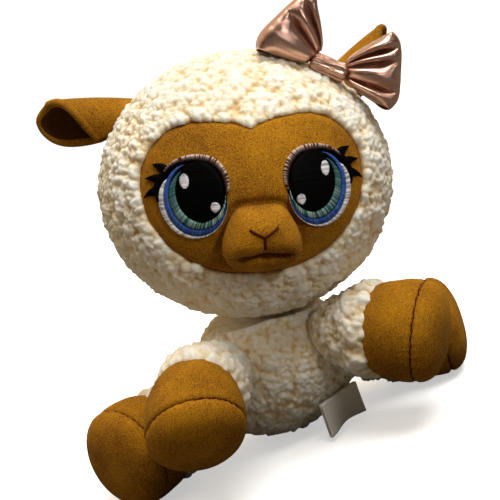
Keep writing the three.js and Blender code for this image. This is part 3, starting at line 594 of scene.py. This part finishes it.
def satin(side, stitches, edges, *given, lift=THREAD_LIFT, thick=THREAD_THICK, rows=6):
    """A patch on the face; edges(*given, along) gives its two edges there as pairs of x and z."""
    marks = {}

    def place(along, around):
        across = 2 * around if around <= 0.5 else 2 - 2 * around
        (x0, z0), (x1, z1) = edges(*given, along)
        x, z = lerp(x0, x1, across), lerp(z0, z1, across)
        swell = max(0, 1 - abs(2 * across - 1) ** 4) ** 0.5
        ends = min(1, 40 * min(along, 1 - along)) ** 0.5
        ridge = RIDGE * abs(math.sin(math.pi * stitches * along))
        top = THREAD_SUNK + (thick * swell + ridge * swell) * ends if around <= 0.5 else 0
        point = on_face(side * x, z, lift - THREAD_SUNK + top * swell * ends)
        own = noise.cell_vector(Vector((int(along * stitches) + 0.5, side * 3, stitches)))[0]
        marks[spot_key(point)] = (along, across, own)
        return point

    form = bent_grid(stitches * 4, rows * 2, place)
    layers = [form.verts.layers.float.new(label) for label in ("along", "across", "stitch")]
    for vert in form.verts:
        for layer, value in zip(layers, marks.get(spot_key(vert.co), (0.5, 0.5, 0.5))):
            vert[layer] = value
    return form


def thread_look(name, first, last, other, odd, blend_by="along", gloss=0.25):
    """Thread that shades from one colour to another, with some threads of a third colour."""
    look = cloth(name, rgb(255, 255, 255), rgb(196, 196, 196), 240.0, 2600.0, 1.0, 0.08, 0.55, gloss=gloss)
    tree = look.node_tree
    share, own = attribute(tree, blend_by), attribute(tree, "stitch")
    share = math_node(tree, "POWER", share, 3.0 if blend_by == "across" else 1.0)
    shade = mix_colour(tree, share, first, last)
    threads = mix_colour(tree, math_node(tree, "LESS_THAN", own, odd), shade, other)
    uneven = math_node(tree, "ADD", math_node(tree, "MULTIPLY", own, 0.8), 0.5)
    tint(look, mix_colour(tree, 1.0, threads, uneven, "MULTIPLY"))
    return look


THREAD_COLOURS = {
    "black_thread": (rgb(5, 4, 4), rgb(4, 3, 3), rgb(10, 9, 9), 0.25, "along", 0.03),
    "blue_thread": (rgb(24, 50, 128), rgb(56, 104, 198), rgb(96, 140, 214), 0.2),
    "teal_thread": (rgb(186, 210, 200), rgb(36, 84, 104), rgb(52, 124, 110), 0.45),
    "white_thread": (rgb(238, 235, 242), rgb(252, 250, 253), rgb(228, 225, 235), 0.3),
    "rose_thread": (rgb(3, 2, 2), rgb(255, 222, 202), rgb(86, 46, 34), 0.3, "across", 0.1),
}
THREADS = {slot: thread_look(slot, *values) for slot, values in THREAD_COLOURS.items()}
print("threads:", list(THREADS))

# %% [markdown]
# ## Eyes
# Each eye is a set of ovals on the face. The iris, the white and the lid are crescents between two of them,
# and the lashes are points that grow out of a dark corner. The left eye is the right one mirrored.

# %% Eyes
SIDES = (("left", -1), ("right", 1))
PUPIL, IRIS_MIDDLE, IRIS_EDGE = (22, 2.6, 9.8, 11.8), (23.2, 1.1, 11.5, 13.4), (24.1, 0.2, 12.5, 15.1)
EYE_EDGE, EYE_GROUND = (25.3, 0.4, 13.8, 16.2), (25.2, 0.6, 13.6, 15.9)
LARGE_GLINT, SMALL_GLINT = (27.6, 7.2, 2.1, 2.9), (16.8, -3.6, 2, 2)
LASHES = ((44, (40, 14.6)), (28, (43.6, 9)), (12, (44.9, 1.2)))
TEAL_ARC, BLUE_ARC, WHITE_ARC, LID_ARC = (-172, 48), (-170, 70), (-176, 34), (40, 190)


def oval_point(oval, degrees, grow=0.0):
    x, z, rx, rz = oval
    angle = math.radians(degrees)
    return x + (rx + grow) * math.cos(angle), z + (rz + grow) * math.sin(angle)


def between(inner, outer, arc, along):
    """A crescent between two ovals, drawn out to a point at both ends."""
    degrees = lerp(*arc, along)
    near, far = oval_point(inner, degrees, -0.2), oval_point(outer, degrees)
    point = min(1, 7 * min(along, 1 - along)) ** 0.6
    return near, tuple(lerp(a, b, point) for a, b in zip(near, far))


def upright(oval, along):
    """An oval that is filled with level threads, from its foot to its top."""
    x, z, rx, rz = oval
    level = -math.cos(math.pi * along)
    reach = rx * math.sqrt(max(0, 1 - level * level))
    return (x - reach, z + rz * level), (x + reach, z + rz * level)


def lash(degrees, tip, along):
    sides, rest = [], 1 - along
    for way in (-1, 1):
        root = oval_point(EYE_EDGE, degrees + 9 * way, -0.3)
        bend = oval_point(EYE_EDGE, degrees + 2 + 6 * way, 3.4)
        sides.append([root[k] * rest**2 + 2 * bend[k] * along * rest + tip[k] * along**2 for k in (0, 1)])
    return sides


def lid(along):
    """Follows the eye's edge from the lashes, then the pupil's edge down its inner side."""
    degrees = lerp(*LID_ARC, along)
    swell = math.sin(math.pi * along) ** 0.5
    ends = oval_point(EYE_EDGE, degrees, 0.9 * swell), oval_point(PUPIL, degrees, 3 * swell)
    edge = [lerp(a, b, smooth(55, 125, degrees)) for a, b in zip(*ends)]
    inward = (Vector(PUPIL[:2]) - Vector(edge)).normalized() * (3.0 * swell + 0.2)
    return (edge[0] + inward.x, edge[1] + inward.y), tuple(edge)


def corner(along):
    swell = math.sin(math.pi * along) ** 0.7
    degrees = lerp(-4, 50, along)
    return oval_point(EYE_EDGE, degrees, -1.6), oval_point(EYE_EDGE, degrees, 2.0 * swell)


for name, side in SIDES:
    ground = satin(side, 34, upright, EYE_GROUND, lift=0.35, thick=0.12, rows=12)
    points = [satin(side, 16, lash, *spec) for spec in LASHES]
    patches = (
        ("pupil", "black_thread", ground, satin(side, 30, upright, PUPIL, rows=12)),
        ("iris_inner", "teal_thread", satin(side, 110, between, PUPIL, IRIS_MIDDLE, TEAL_ARC)),
        ("iris_outer", "blue_thread", satin(side, 120, between, IRIS_MIDDLE, IRIS_EDGE, BLUE_ARC)),
        ("eye_white", "white_thread", satin(side, 110, between, IRIS_EDGE, EYE_EDGE, WHITE_ARC)),
        ("lid", "rose_thread", satin(side, 96, lid, thick=0.6)),
        ("lashes", "black_thread", satin(side, 30, corner), *points),
        ("large_glint", "white_thread", satin(side, 10, upright, LARGE_GLINT, lift=1.1)),
        ("small_glint", "white_thread", satin(side, 8, upright, SMALL_GLINT, lift=1.1)),
    )
    for patch, slot, *forms in patches:
        solid, form = f"{name}_{patch}", join(forms)
        add_piece(f"{name}_eye_{patch}", form, THREADS[slot], "head", slot, solid, moved=HEAD)

# %% [markdown]
# ## Ears
# An ear is a leaf of suede with a lining, sewn along the edge, turned, and rolled into a half tube. Its
# middle line is a curve, the leaf is wrapped round it as an arc, and the two layers are closed shells with
# round rims. A rolled bead of suede follows the edge. `EARS` gives each ear a length, and angles for its
# place, rise and roll. The right one is shorter and shows its back.

# %% Ears
EAR_ROOT, EAR_TIP, EAR_LIFT, EAR_BACK = 9.0, 12.0, 3.0, 8
FRONT_WRAP, BACK_WRAP = math.radians(160), math.radians(140)
EARS = (("left", -1, 40.5, 38, 8, 16), ("right", 1, 33.5, 44, 40.5, -28))
EAR_DROOP, EAR_SINK = math.radians(12), 0.95
RIM_AT, RIM_OFFSET, RIM_RADIUS = 0.985, -0.5, 1.9


def on_head(direction):
    return direction / Vector(d / h for d, h in zip(direction, HEAD_HALF)).length


def curled_ear(side, length, rise, lean, roll):
    """Places a point of the leaf. The front flap ends in a slanted rim, the back one in a blunt tip."""
    root = on_head(Vector((side * HEAD_HALF.x * math.cos(rise), EAR_BACK, HEAD_HALF.x * math.sin(rise))))
    first, second = (Vector((side * math.cos(way), 0, math.sin(way))) * (length / 2)
                     for way in (lean, lean - EAR_DROOP))

    def place(share, across, offset):
        if across > 0:
            along, angle = share * lerp(0.86, 0.3, across**0.85), FRONT_WRAP * across
        else:
            end = max(0, -across - 0.35) / 0.66
            reach = (0.86 + 0.16 * smooth(0, 0.4, -across)) * max(0, 1 - end**2.2) ** 0.5
            along, angle = share * reach, BACK_WRAP * across
        middle = root + first * (2 * along * (1 - along)) + (first + second) * along**2
        ahead = (first * (1 - along) + second * along).normalized()
        wide = Matrix.Rotation(-side * roll, 3, ahead) @ Vector((0, -1, 0))
        back = wide.cross(ahead) * side
        radius = lerp(EAR_ROOT, EAR_TIP, smooth(0, 1, along))
        curl = radius + offset
        point = middle + wide * (curl * math.sin(angle)) + back * (curl * math.cos(angle) - radius + EAR_LIFT)
        buried = Vector(p / h for p, h in zip(point, HEAD_HALF)).length
        return point if buried > EAR_SINK else point * (EAR_SINK / buried)

    return place


def leaf(ear, start, offset, thick):
    """A closed shell: out over one face of the leaf and back over the other."""

    def place(along, around):
        face = 1 if around <= 0.5 else -1
        across = 4 * around - 1 if around <= 0.5 else 3 - 4 * around
        rim = max(0, 1 - abs(across) ** 8) ** 0.5 * min(1, (14 * (1 - along)) ** 0.5)
        return ear(lerp(start, 1, along), across, offset + face * thick / 2 * rim)

    return closed(bent_grid(56, 112, place))


for name, side, length, *angles in EARS:
    ear = curled_ear(side, length, *(math.radians(angle) for angle in angles))
    bead = tube([ear(RIM_AT, across, RIM_OFFSET) for across in np.linspace(1, -1, 49)], RIM_RADIUS, 12, 96)
    for part, forms, look, slot, solid in (
        ("suede", [leaf(ear, -0.24, 0.0, 1.8), bead], SUEDE, "suede", "outer"),
        ("inside", [leaf(ear, -0.12, -1.9, 1.6)], LINING, "ear_lining", "lining"),
    ):
        solid = f"{name}_ear_{solid}"
        layer = add_piece(f"{name}_ear_{part}", join(forms), look, f"{name}_ear", slot, solid, moved=HEAD)

# %% [markdown]
# ## Bow
# The bow is a crisp cloth with a rose metal film. Each loop runs out of the knot, turns and comes back, and
# its pleats fan out from the knot as sharp ridges that fade towards the far edge. The film reflects its
# surroundings, so the pleats are real folds.

# %% Bow
FOIL = cloth("rose_foil", rgb(226, 186, 168), rgb(186, 144, 126), 150.0, 2300.0, 1.0, 0.1, 0.2,
             Metallic=0.92)
BOW_RISE, BOW_ROLL, BOW_LIFT, BOW_FORWARD = math.radians(54), math.radians(29), 2.6, -22
BOW_OUT = Vector((math.cos(BOW_RISE), 0, math.sin(BOW_RISE)))
BOW_SEAT = on_head(Vector((HEAD_HALF.x * BOW_OUT.x, BOW_FORWARD, HEAD_HALF.z * BOW_OUT.z)))
BOW = HEAD @ Matrix.Translation(BOW_SEAT + BOW_OUT * BOW_LIFT) @ Matrix.Rotation(BOW_ROLL, 4, "Y")
LOOP_LENGTH, LOOP_WIDTH, LOOP_PINCH, LOOP_DEPTH, LOOP_LIFT = 22, 33, 8, 16, math.radians(23)
LOOP_ROOT, FOIL_THICK = 3.5, 0.5
PLEATS, BACK_PLEATS = {-1: (0, 0.6, 0.86, 1), 1: (0, 0.2, 0.62, 0.8, 1)}, (0, 0.5, 1)


def thickened(form, thickness):
    bmesh.ops.solidify(form, geom=form.faces[:], thickness=thickness)
    bmesh.ops.recalc_face_normals(form, faces=form.faces)
    return form


def loop_point(side, along, across):
    """The cloth swells between pleats that pinch it at the knot, and is taut round the far edge."""
    turn = math.pi * along
    out = max(0, math.sin(turn)) ** 0.8
    swing = -math.cos(turn)
    face = math.copysign(1, swing)
    lines = PLEATS[side] if face < 0 else BACK_PLEATS
    k = max(i for i in range(len(lines) - 1) if across >= lines[i])
    share = (across - lines[k]) / (lines[k + 1] - lines[k])
    puff = (1 - (2 * min(1, max(0, share)) - 1) ** 2) ** 0.5
    pinch = lerp(0.02, 1, smooth(0.6, 1, out))
    bulge = face * (LOOP_DEPTH / 2 + 1.5) * math.sqrt(out * abs(swing)) * lerp(pinch, 1, puff)
    width = lerp(LOOP_PINCH, LOOP_WIDTH, out**0.75)
    crease = 0.5 * noise.noise(Vector((7 * across, 2.5 * out * face, side * 4))) * min(1, 4 * out)
    rim = 2.5 * out**3 - 4.5 * abs(2 * across - 1) ** 5 * out**2
    x = side * (4.2 + (LOOP_LENGTH - 1) * out + rim)
    return Vector((x, 0.9 * swing + bulge + crease, width * (across - 0.5)))


for name, side in SIDES:
    form = thickened(bent_grid(110, 90, lambda along, across: loop_point(side, along, across)), FOIL_THICK)
    place = BOW @ Matrix.Translation((side * LOOP_ROOT, 0, 0)) @ Matrix.Rotation(-side * LOOP_LIFT, 4, "Y")
    loop = add_piece(f"bow_{name}_foil", form, FOIL, "head", "foil", f"bow_{name}_loop", moved=place)

# %% [markdown]
# The knot is a strip of the same cloth wrapped round the middle. It is a short tube with soft lengthwise
# pleats, and its ends are tucked in.

# %% Bow knot
KNOT_LENGTH, KNOT_THICK = 17, 8.6


def knot_point(turn, along):
    angle = math.tau * turn
    reach = 2 * along - 1
    end = max(0, 1 - abs(reach) ** 9) ** 0.5
    pleat = 0.3 * math.cos(9 * angle + 1.5 * reach) * smooth(0, 0.8, 1 + math.cos(angle + 2.2))
    crease = 0.5 * noise.noise(Vector((reach * 1.5, math.cos(angle) * 2, math.sin(angle) * 2)))
    radius = end * (lerp(0.8, 1, along) * KNOT_THICK / 2 + 0.6 * reach * reach + pleat + crease)
    return Vector((reach * KNOT_LENGTH / 2, radius * math.cos(angle), radius * math.sin(angle)))


form = bent_grid(96, 48, knot_point)
knot = add_piece("bow_knot_foil", form, FOIL, "head", "foil", "bow_knot", moved=BOW)

# %% [markdown]
# ## Legs
# A leg is a bent tube: a fleece sleeve from a ball at the body, then a suede hoof, then a sole behind a seam.
# All follow one bent middle line, given by two headings. `bent_limb` returns a function that places a point
# at a distance along that line, and each part is a profile of distances and radii that is swept round it. A
# row of `LEGS` has both headings as turn and rise, how flat and thick the hoof is, and where the leg is sewn.

# %% Leg lines and profiles
BODY_HALF, BODY_MIDDLE, BODY_TAPER = Vector((41, 36, 34)), Vector((0, 0, 33.5)), 0.03
SLEEVE_LENGTH, HOOF_LENGTH, HOOF_RADIUS = 24, 18, 22
SUEDE_LOW, PILE_LOW = 0.3, 0.2
LEGS = (
    ("left_front", -1, (50, 12), (16, -34), 0.9, 22, (42, 45)),
    ("right_front", 1, (38, 0), (52, -16), 0.9, 22, (42, 45)),
    ("left_hind", -1, (76, 0), (54, 0), 1, 23, (92, 22.5)),
    ("right_hind", 1, (80, 0), (70, 0), 1, 23, (92, 22.5)),
)


def on_body(side, turn, height, out):
    level = (height - BODY_MIDDLE.z) / BODY_HALF.z
    reach = math.sqrt(1 - level**2) * (1 - BODY_TAPER * level)
    turn = math.radians(turn)
    return Vector((side * (BODY_HALF.x * reach + out) * math.sin(turn),
                   -(BODY_HALF.y * reach + out) * math.cos(turn), height))


def heading(side, turn, rise):
    turn, rise = math.radians(turn), math.radians(rise)
    return Vector((side * math.sin(turn) * math.cos(rise), -math.cos(turn) * math.cos(rise), math.sin(rise)))


def bent_limb(pivot, side, lead, toe, flatness):
    first, second = heading(side, *lead), heading(side, *toe)
    bend = first * SLEEVE_LENGTH
    end = bend + second * HOOF_LENGTH
    shares = np.linspace(0, 1, 201)

    def middle(t):
        return bend * (2 * t * (1 - t)) + end * t**2

    line = [middle(t) for t in shares]
    gone = np.concatenate([[0], np.cumsum([(b - a).length for a, b in zip(line, line[1:])])])
    axis = first.cross(second).normalized()

    def place(distance, radius, angle):
        t = float(np.interp(distance, gone, shares))
        ahead = (bend * (1 - t) + (end - bend) * t).normalized()
        centre = pivot + (middle(t) + ahead * (distance - min(max(distance, 0), gone[-1])))
        flat = lerp(1, flatness, smooth(0, SLEEVE_LENGTH, distance))
        up = ahead.cross(axis)
        return centre + axis * (radius * math.cos(angle)) + up * (radius * flat * math.sin(angle))

    return place


def profile(stations):
    """A smooth curve through pairs of distance and radius, by share of its length."""
    knots = np.array(stations, dtype=float)
    steps = np.hypot(*np.diff(knots, axis=0).T)
    at = np.concatenate([[0], np.cumsum(steps)]) / steps.sum()
    slopes = np.gradient(knots, at, axis=0)

    def place(share):
        k = min(len(at) - 2, max(0, int(np.searchsorted(at, share, side="right")) - 1))
        gap = at[k + 1] - at[k]
        t = (share - at[k]) / gap
        value = lerp(knots[k], knots[k + 1], smooth(0, 1, t))
        value = value + gap * (slopes[k] * t * (1 - t) ** 2 + slopes[k + 1] * t * t * (t - 1))
        return float(value[0]), max(0.0, float(value[1]))

    return place


def swept(limb, stations, columns, rows, ripple=None):
    outline = profile(stations)

    def place(turn, along):
        distance, radius = outline(along)
        if along in (0, 1):
            radius = 0
        angle = math.tau * turn
        if ripple and radius > 0:
            radius += ripple(distance, angle)
        point = limb(distance, radius, angle)
        point.z = max(SUEDE_LOW, point.z)
        return point

    return bent_grid(columns, rows, place)


print("legs:", [leg[0] for leg in LEGS])

# %% [markdown]
# The sleeve's fleece stops in lumps that hang over the hoof. The hoof and the sole are plump and smooth; they
# pull in a little at the seam, where the stitches make fine puckers. A thin dark thread lies in the valley.

# %% Sleeves, hooves and soles
SLEEVE = ((-12, 0), (-11, 5.2), (-7.5, 9.6), (0, 12.2), (8, 14.4), (14, 17.2), (19, 19.2), (21.6, 19.2),
          (22.8, 18.2), (22.2, 15), (21.8, 0))
HOOF = ((18, 0), (18.2, 9), (18.8, 16), (22, 19), (27, 21.2), (33, 22.3), (38.4, 22.6), (41, 22.3),
        (41.9, 21.6), (42.2, 20.4), (42, 10), (41.9, 0))
SOLE = ((41.5, 0), (41.5, 12), (41.8, 20.4), (42.5, 21.6), (43.8, 22.1), (46.5, 21.4), (49.8, 18.7),
        (52.6, 13), (54, 6.5), (54.3, 0))
SEAM, SEAM_RADIUS, SEAM_THICK, SEAM_STITCHES, SLEEVE_RISE = 42.25, 21.35, 0.36, 46, 5.2


def pucker(seed):
    def ripple(distance, angle):
        tight = math.exp(-abs(distance - SEAM) / 2.2)
        spot = Vector((math.cos(angle) * 2, math.sin(angle) * 2, distance / 9 + seed))
        return 0.22 * tight * math.sin(30 * angle + 3 * math.sin(5 * angle + seed)) + 0.5 * noise.noise(spot)

    return ripple


def seam_thread(limb, radius):
    def place(turn, around):
        angle, spin = math.tau * turn, math.tau * around
        stitch = math.sin(SEAM_STITCHES * angle / 2)
        thick = SEAM_THICK * (0.75 + 0.35 * abs(stitch))
        distance = SEAM + 0.3 * stitch + thick * math.cos(spin)
        point = limb(distance, radius + thick * math.sin(spin), angle)
        point.z = max(PILE_LOW, point.z)
        return point

    return bent_grid(SEAM_STITCHES * 6, 8, place)


pivots = {}
for seed, (name, side, lead, toe, flatness, radius, (spread, height)) in enumerate(LEGS):
    pivot = pivots[name] = on_body(side, spread, height, 1)
    limb, out = bent_limb(pivot, side, lead, toe, flatness), heading(side, *lead)
    body, size = f"{name}_leg", radius / HOOF_RADIUS
    form = swept(limb, SLEEVE, 160, 92)
    grow_fleece(form, SLEEVE_RISE, lambda point: smooth(-8, 3, (point - pivot).dot(out)))
    for vert in form.verts:
        vert.co.z = max(PILE_LOW, vert.co.z)
    parts = [add_piece(f"{name}_fleece", form, FLEECE, body, "fleece", f"{name}_sleeve")]
    for part, stations, rows in (("hoof", HOOF, 60), ("sole", SOLE, 48)):
        form = swept(limb, [(d, r * size) for d, r in stations], 144, rows, pucker(seed))
        parts.append(add_piece(f"{name}_{part}_suede", form, SUEDE, body, "suede", f"{name}_{part}"))
    form = seam_thread(limb, SEAM_RADIUS * size)
    add_piece(f"{name}_seam_thread", form, BROWN_THREAD, body, "brown_thread")

# %% [markdown]
# ## Body and tail
# The body is another egg of fleece. Where the head, the legs and the tail sit in it, its cloth gives way: a
# point inside one of them is moved to the far side of it, so the pieces nest and can turn. The tail is a
# small drop at the back.

# %% Body and tail
NECK_SWING = (-18.5, -14, -9, -4.5, 2)
TAIL_PIVOT, TAIL_FALL = on_body(1, 180, 22, 1), math.radians(15)
ROOT_ROOM, TAIL_ROOM, HEAD_ROOM = 11.2, 5.0, 1.0
BODY_BASE, BODY_RISE, TAIL_RISE, SHOULDERS = 3.2, 4.0, 3.2, 30
TAIL = ((-5.5, 0), (-5, 2.6), (-3, 4.6), (0, 5.2), (6, 6), (12, 6.8), (17, 5.6), (20, 3), (20.8, 0))


def head_low(point):
    """The height under the leaning head at a point, over the whole swing of the neck."""
    low = point.z
    for lean in NECK_SWING:
        swing = (Matrix.Translation(NECK) @ Matrix.Rotation(math.radians(lean), 4, "Y")
                 @ Matrix.Translation(-NECK) @ HEAD).inverted()
        half = HEAD_HALF + Vector((HEAD_ROOM,) * 3)
        spot = swing @ Vector((point.x, point.y, low))
        down = swing.to_3x3() @ Vector((0, 0, -1))
        spot, down = (Vector(a / b for a, b in zip(v, half)) for v in (spot, down))
        if spot.length < 1:
            a, b, c = down.dot(down), spot.dot(down), spot.dot(spot) - 1
            low -= (-b + math.sqrt(b * b - a * c)) / a
    return low


def make_room(point):
    for pivot, room in [*((p, ROOT_ROOM) for p in pivots.values()), (TAIL_PIVOT, TAIL_ROOM)]:
        away = point - pivot
        if away.length < room:
            inward = (BODY_MIDDLE - pivot).normalized()
            b, c = away.dot(inward), away.dot(away) - room * room
            point = point + inward * (-b + math.sqrt(b * b - c))
    return point


def body_fleece():
    form = dense_ball(2)
    base = BODY_HALF - Vector((BODY_BASE,) * 3)
    for vert in form.verts:
        x, y, z = vert.co
        taper = 1 - BODY_TAPER * z
        vert.co = BODY_MIDDLE + Vector((x * base.x * taper, y * base.y * taper, z * base.z))
    grow_fleece(form, BODY_RISE, lambda point: smooth(0.5, 5, point.z))
    for vert in form.verts:
        point = make_room(vert.co)
        if point.z > SHOULDERS:
            point.z = head_low(point)
        point.z = max(0.0, point.z)
        vert.co = point
    return form


torso = add_piece("torso_fleece", body_fleece(), FLEECE, "torso", "fleece", "torso_cover")
tail_side, tail_out = Vector((1, 0, 0)), Vector((0, math.cos(TAIL_FALL), -math.sin(TAIL_FALL)))
tail_up = tail_side.cross(tail_out)


def tail_line(distance, radius, angle):
    middle = TAIL_PIVOT + tail_out * distance
    return middle + tail_side * (radius * math.cos(angle)) + tail_up * (radius * math.sin(angle))


form = swept(tail_line, TAIL, 64, 44)
grow_fleece(form, TAIL_RISE, lambda point: smooth(1, 6, (point - TAIL_PIVOT).dot(tail_out)))
tail = add_piece("tail_fleece", form, FLEECE, "tail", "fleece", "tail")

# %% [markdown]
# ## Care label
# A woven tape, folded double and sewn low on the body. It is left blank. The strip is bent once, waved a
# little and given its thickness.

# %% Care label
LABEL_WIDTH, LABEL_LENGTH, LABEL_PLY, LABEL_WAVE, LABEL_THICK = 24, 15, 0.55, 1.3, 0.4
LABEL_TURN, LABEL_HEIGHT, LABEL_OUT = 28, 18, 1.4


def label_point(across, along):
    run = (2 * along - 1) * (LABEL_LENGTH + LABEL_PLY)
    ply = LABEL_PLY * max(-1, min(1, run / LABEL_PLY))
    x = LABEL_WIDTH * (across - 0.5)
    hang = min(LABEL_LENGTH, LABEL_LENGTH + LABEL_PLY - abs(run))
    low = (hang / LABEL_LENGTH) ** 1.5
    wave = LABEL_WAVE * math.sin(x / 5 + 0.8) * low - 0.9 * ply * math.cos(x / 7) * low
    return Vector((x + 0.06 * x * low, ply * 1.5 + wave, -hang + 0.5 * math.cos(x / 4) * low))


form = thickened(bent_grid(28, 44, label_point), LABEL_THICK)
sewn_at = Matrix.Translation(on_body(1, LABEL_TURN, LABEL_HEIGHT, LABEL_OUT))
place = sewn_at @ Matrix.Rotation(math.radians(LABEL_TURN), 4, "Z")
label = add_piece("label_tape", form, TAPE, "label", "tape", "care_label", moved=place)

# %% [markdown]
# ## Stuffing
# The stuffing is inside and never seen, but its solids stay in the model, so they get the look of polyester
# wadding.

# %% Stuffing
for name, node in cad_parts.items():
    if name.endswith("_stuffing"):
        node.data.materials.clear()
        node.data.materials.append(WADDING)
print("stuffed:", [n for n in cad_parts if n.endswith("_stuffing")])

# %% [markdown]
# ## Floor
# A wide pale floor. The camera sees it white, but it sends little light back up, because the photograph shows
# the toy in the air. `Is Camera Ray` tells the two apart, in the colour and in a glow.

# %% Floor
FLOOR_SIZE, FLOOR_GLOW, FLOOR_BOUNCE = 4, 0.5, rgb(96, 92, 86)
form = bmesh.new()
bmesh.ops.create_grid(form, x_segments=8, y_segments=8, size=FLOOR_SIZE)
mesh = bpy.data.meshes.new("floor")
form.to_mesh(mesh)
form.free()
paper = cloth("pale_floor", rgb(252, 252, 251), rgb(249, 249, 248), 3.0, 60.0, 0.5, 0.0, 0.9)
tree = paper.node_tree
shader = tree.nodes["Principled BSDF"].inputs
seen = tree.nodes.new("ShaderNodeLightPath").outputs["Is Camera Ray"]
pale = shader["Base Color"].links[0].from_socket
tree.links.new(mix_colour(tree, seen, FLOOR_BOUNCE, pale), shader["Base Color"])
shader["Emission Color"].default_value = (1, 1, 1, 1)
tree.links.new(math_node(tree, "MULTIPLY", seen, FLOOR_GLOW), shader["Emission Strength"])
mesh.materials.append(paper)
floor = bpy.data.objects.new("floor", mesh)
scene.collection.objects.link(floor)
print("floor:", 2 * FLOOR_SIZE, "m wide")

# %% [markdown]
# ## Lamps
# A broad lamp overhead leaves the body in the shade of the head, and a small lamp with a narrow beam lightens
# the face from the front.

# %% Lamps
SUN_WAY, SUN_COLOUR = (0.25, -0.22, 0.94), (0.97, 0.985, 1.0)
FACE, FACE_WAY, FACE_LAMP_FAR = Vector((0, -0.05, 0.135)), Vector((0.4, -0.85, 0.35)), 0.45


def add_lamp(name, kind, energy, way):
    lamp = bpy.data.objects.new(name, bpy.data.lights.new(name, kind))
    lamp.data.energy = energy
    lamp.rotation_euler = Vector(way).to_track_quat("Z", "Y").to_euler()
    scene.collection.objects.link(lamp)
    return lamp


sun = add_lamp("sun", "SUN", 2.8, SUN_WAY)
sun.data.angle, sun.data.color = math.radians(38), SUN_COLOUR
face_lamp = add_lamp("face_lamp", "AREA", 0.016, FACE_WAY)
face_lamp.data.shape, face_lamp.data.size, face_lamp.data.spread = "DISK", 0.06, math.radians(24)
face_lamp.location = FACE + FACE_WAY * FACE_LAMP_FAR
face_lamp.visible_camera = False
print("lamps:", sun.name, face_lamp.name)

# %% [markdown]
# ## Sky
# The sky is warm, bright overhead and darker in front and low down, because a film of metal looks flat when
# everything round it is white. The camera sees plain white instead.

# %% Sky
SKY_WARMTH, SKY_LEVELS, SKY_STRENGTH = (1, 0.82, 0.57), ((0.42, 0.02), (0.64, 0.2), (0.82, 1.0)), 0.85
SKY_LEAN, SKY_SEEN = {"Y": 0.2, "Z": 0.45}, (1.3, 1.3, 1.3, 1)
world = bpy.data.worlds.new("studio")
world.use_nodes = True
scene.world = world
sky = world.node_tree
way = sky.nodes.new("ShaderNodeSeparateXYZ")
sky.links.new(sky.nodes.new("ShaderNodeTexCoord").outputs["Generated"], way.inputs[0])
lean = math_node(sky, "ADD", *(math_node(sky, "MULTIPLY", way.outputs[a], w) for a, w in SKY_LEAN.items()))
stops = [(place, (*(level * tone for tone in SKY_WARMTH), 1)) for place, level in SKY_LEVELS]
warm = colour_ramp(sky, stops, math_node(sky, "ADD", lean, 0.5))
seen = sky.nodes.new("ShaderNodeLightPath").outputs["Is Camera Ray"]
background = sky.nodes["Background"]
sky.links.new(mix_colour(sky, seen, warm, SKY_SEEN), background.inputs["Color"])
background.inputs["Strength"].default_value = SKY_STRENGTH
scene.view_settings.view_transform = "Standard"
print("sky:", len(sky.nodes), "nodes")
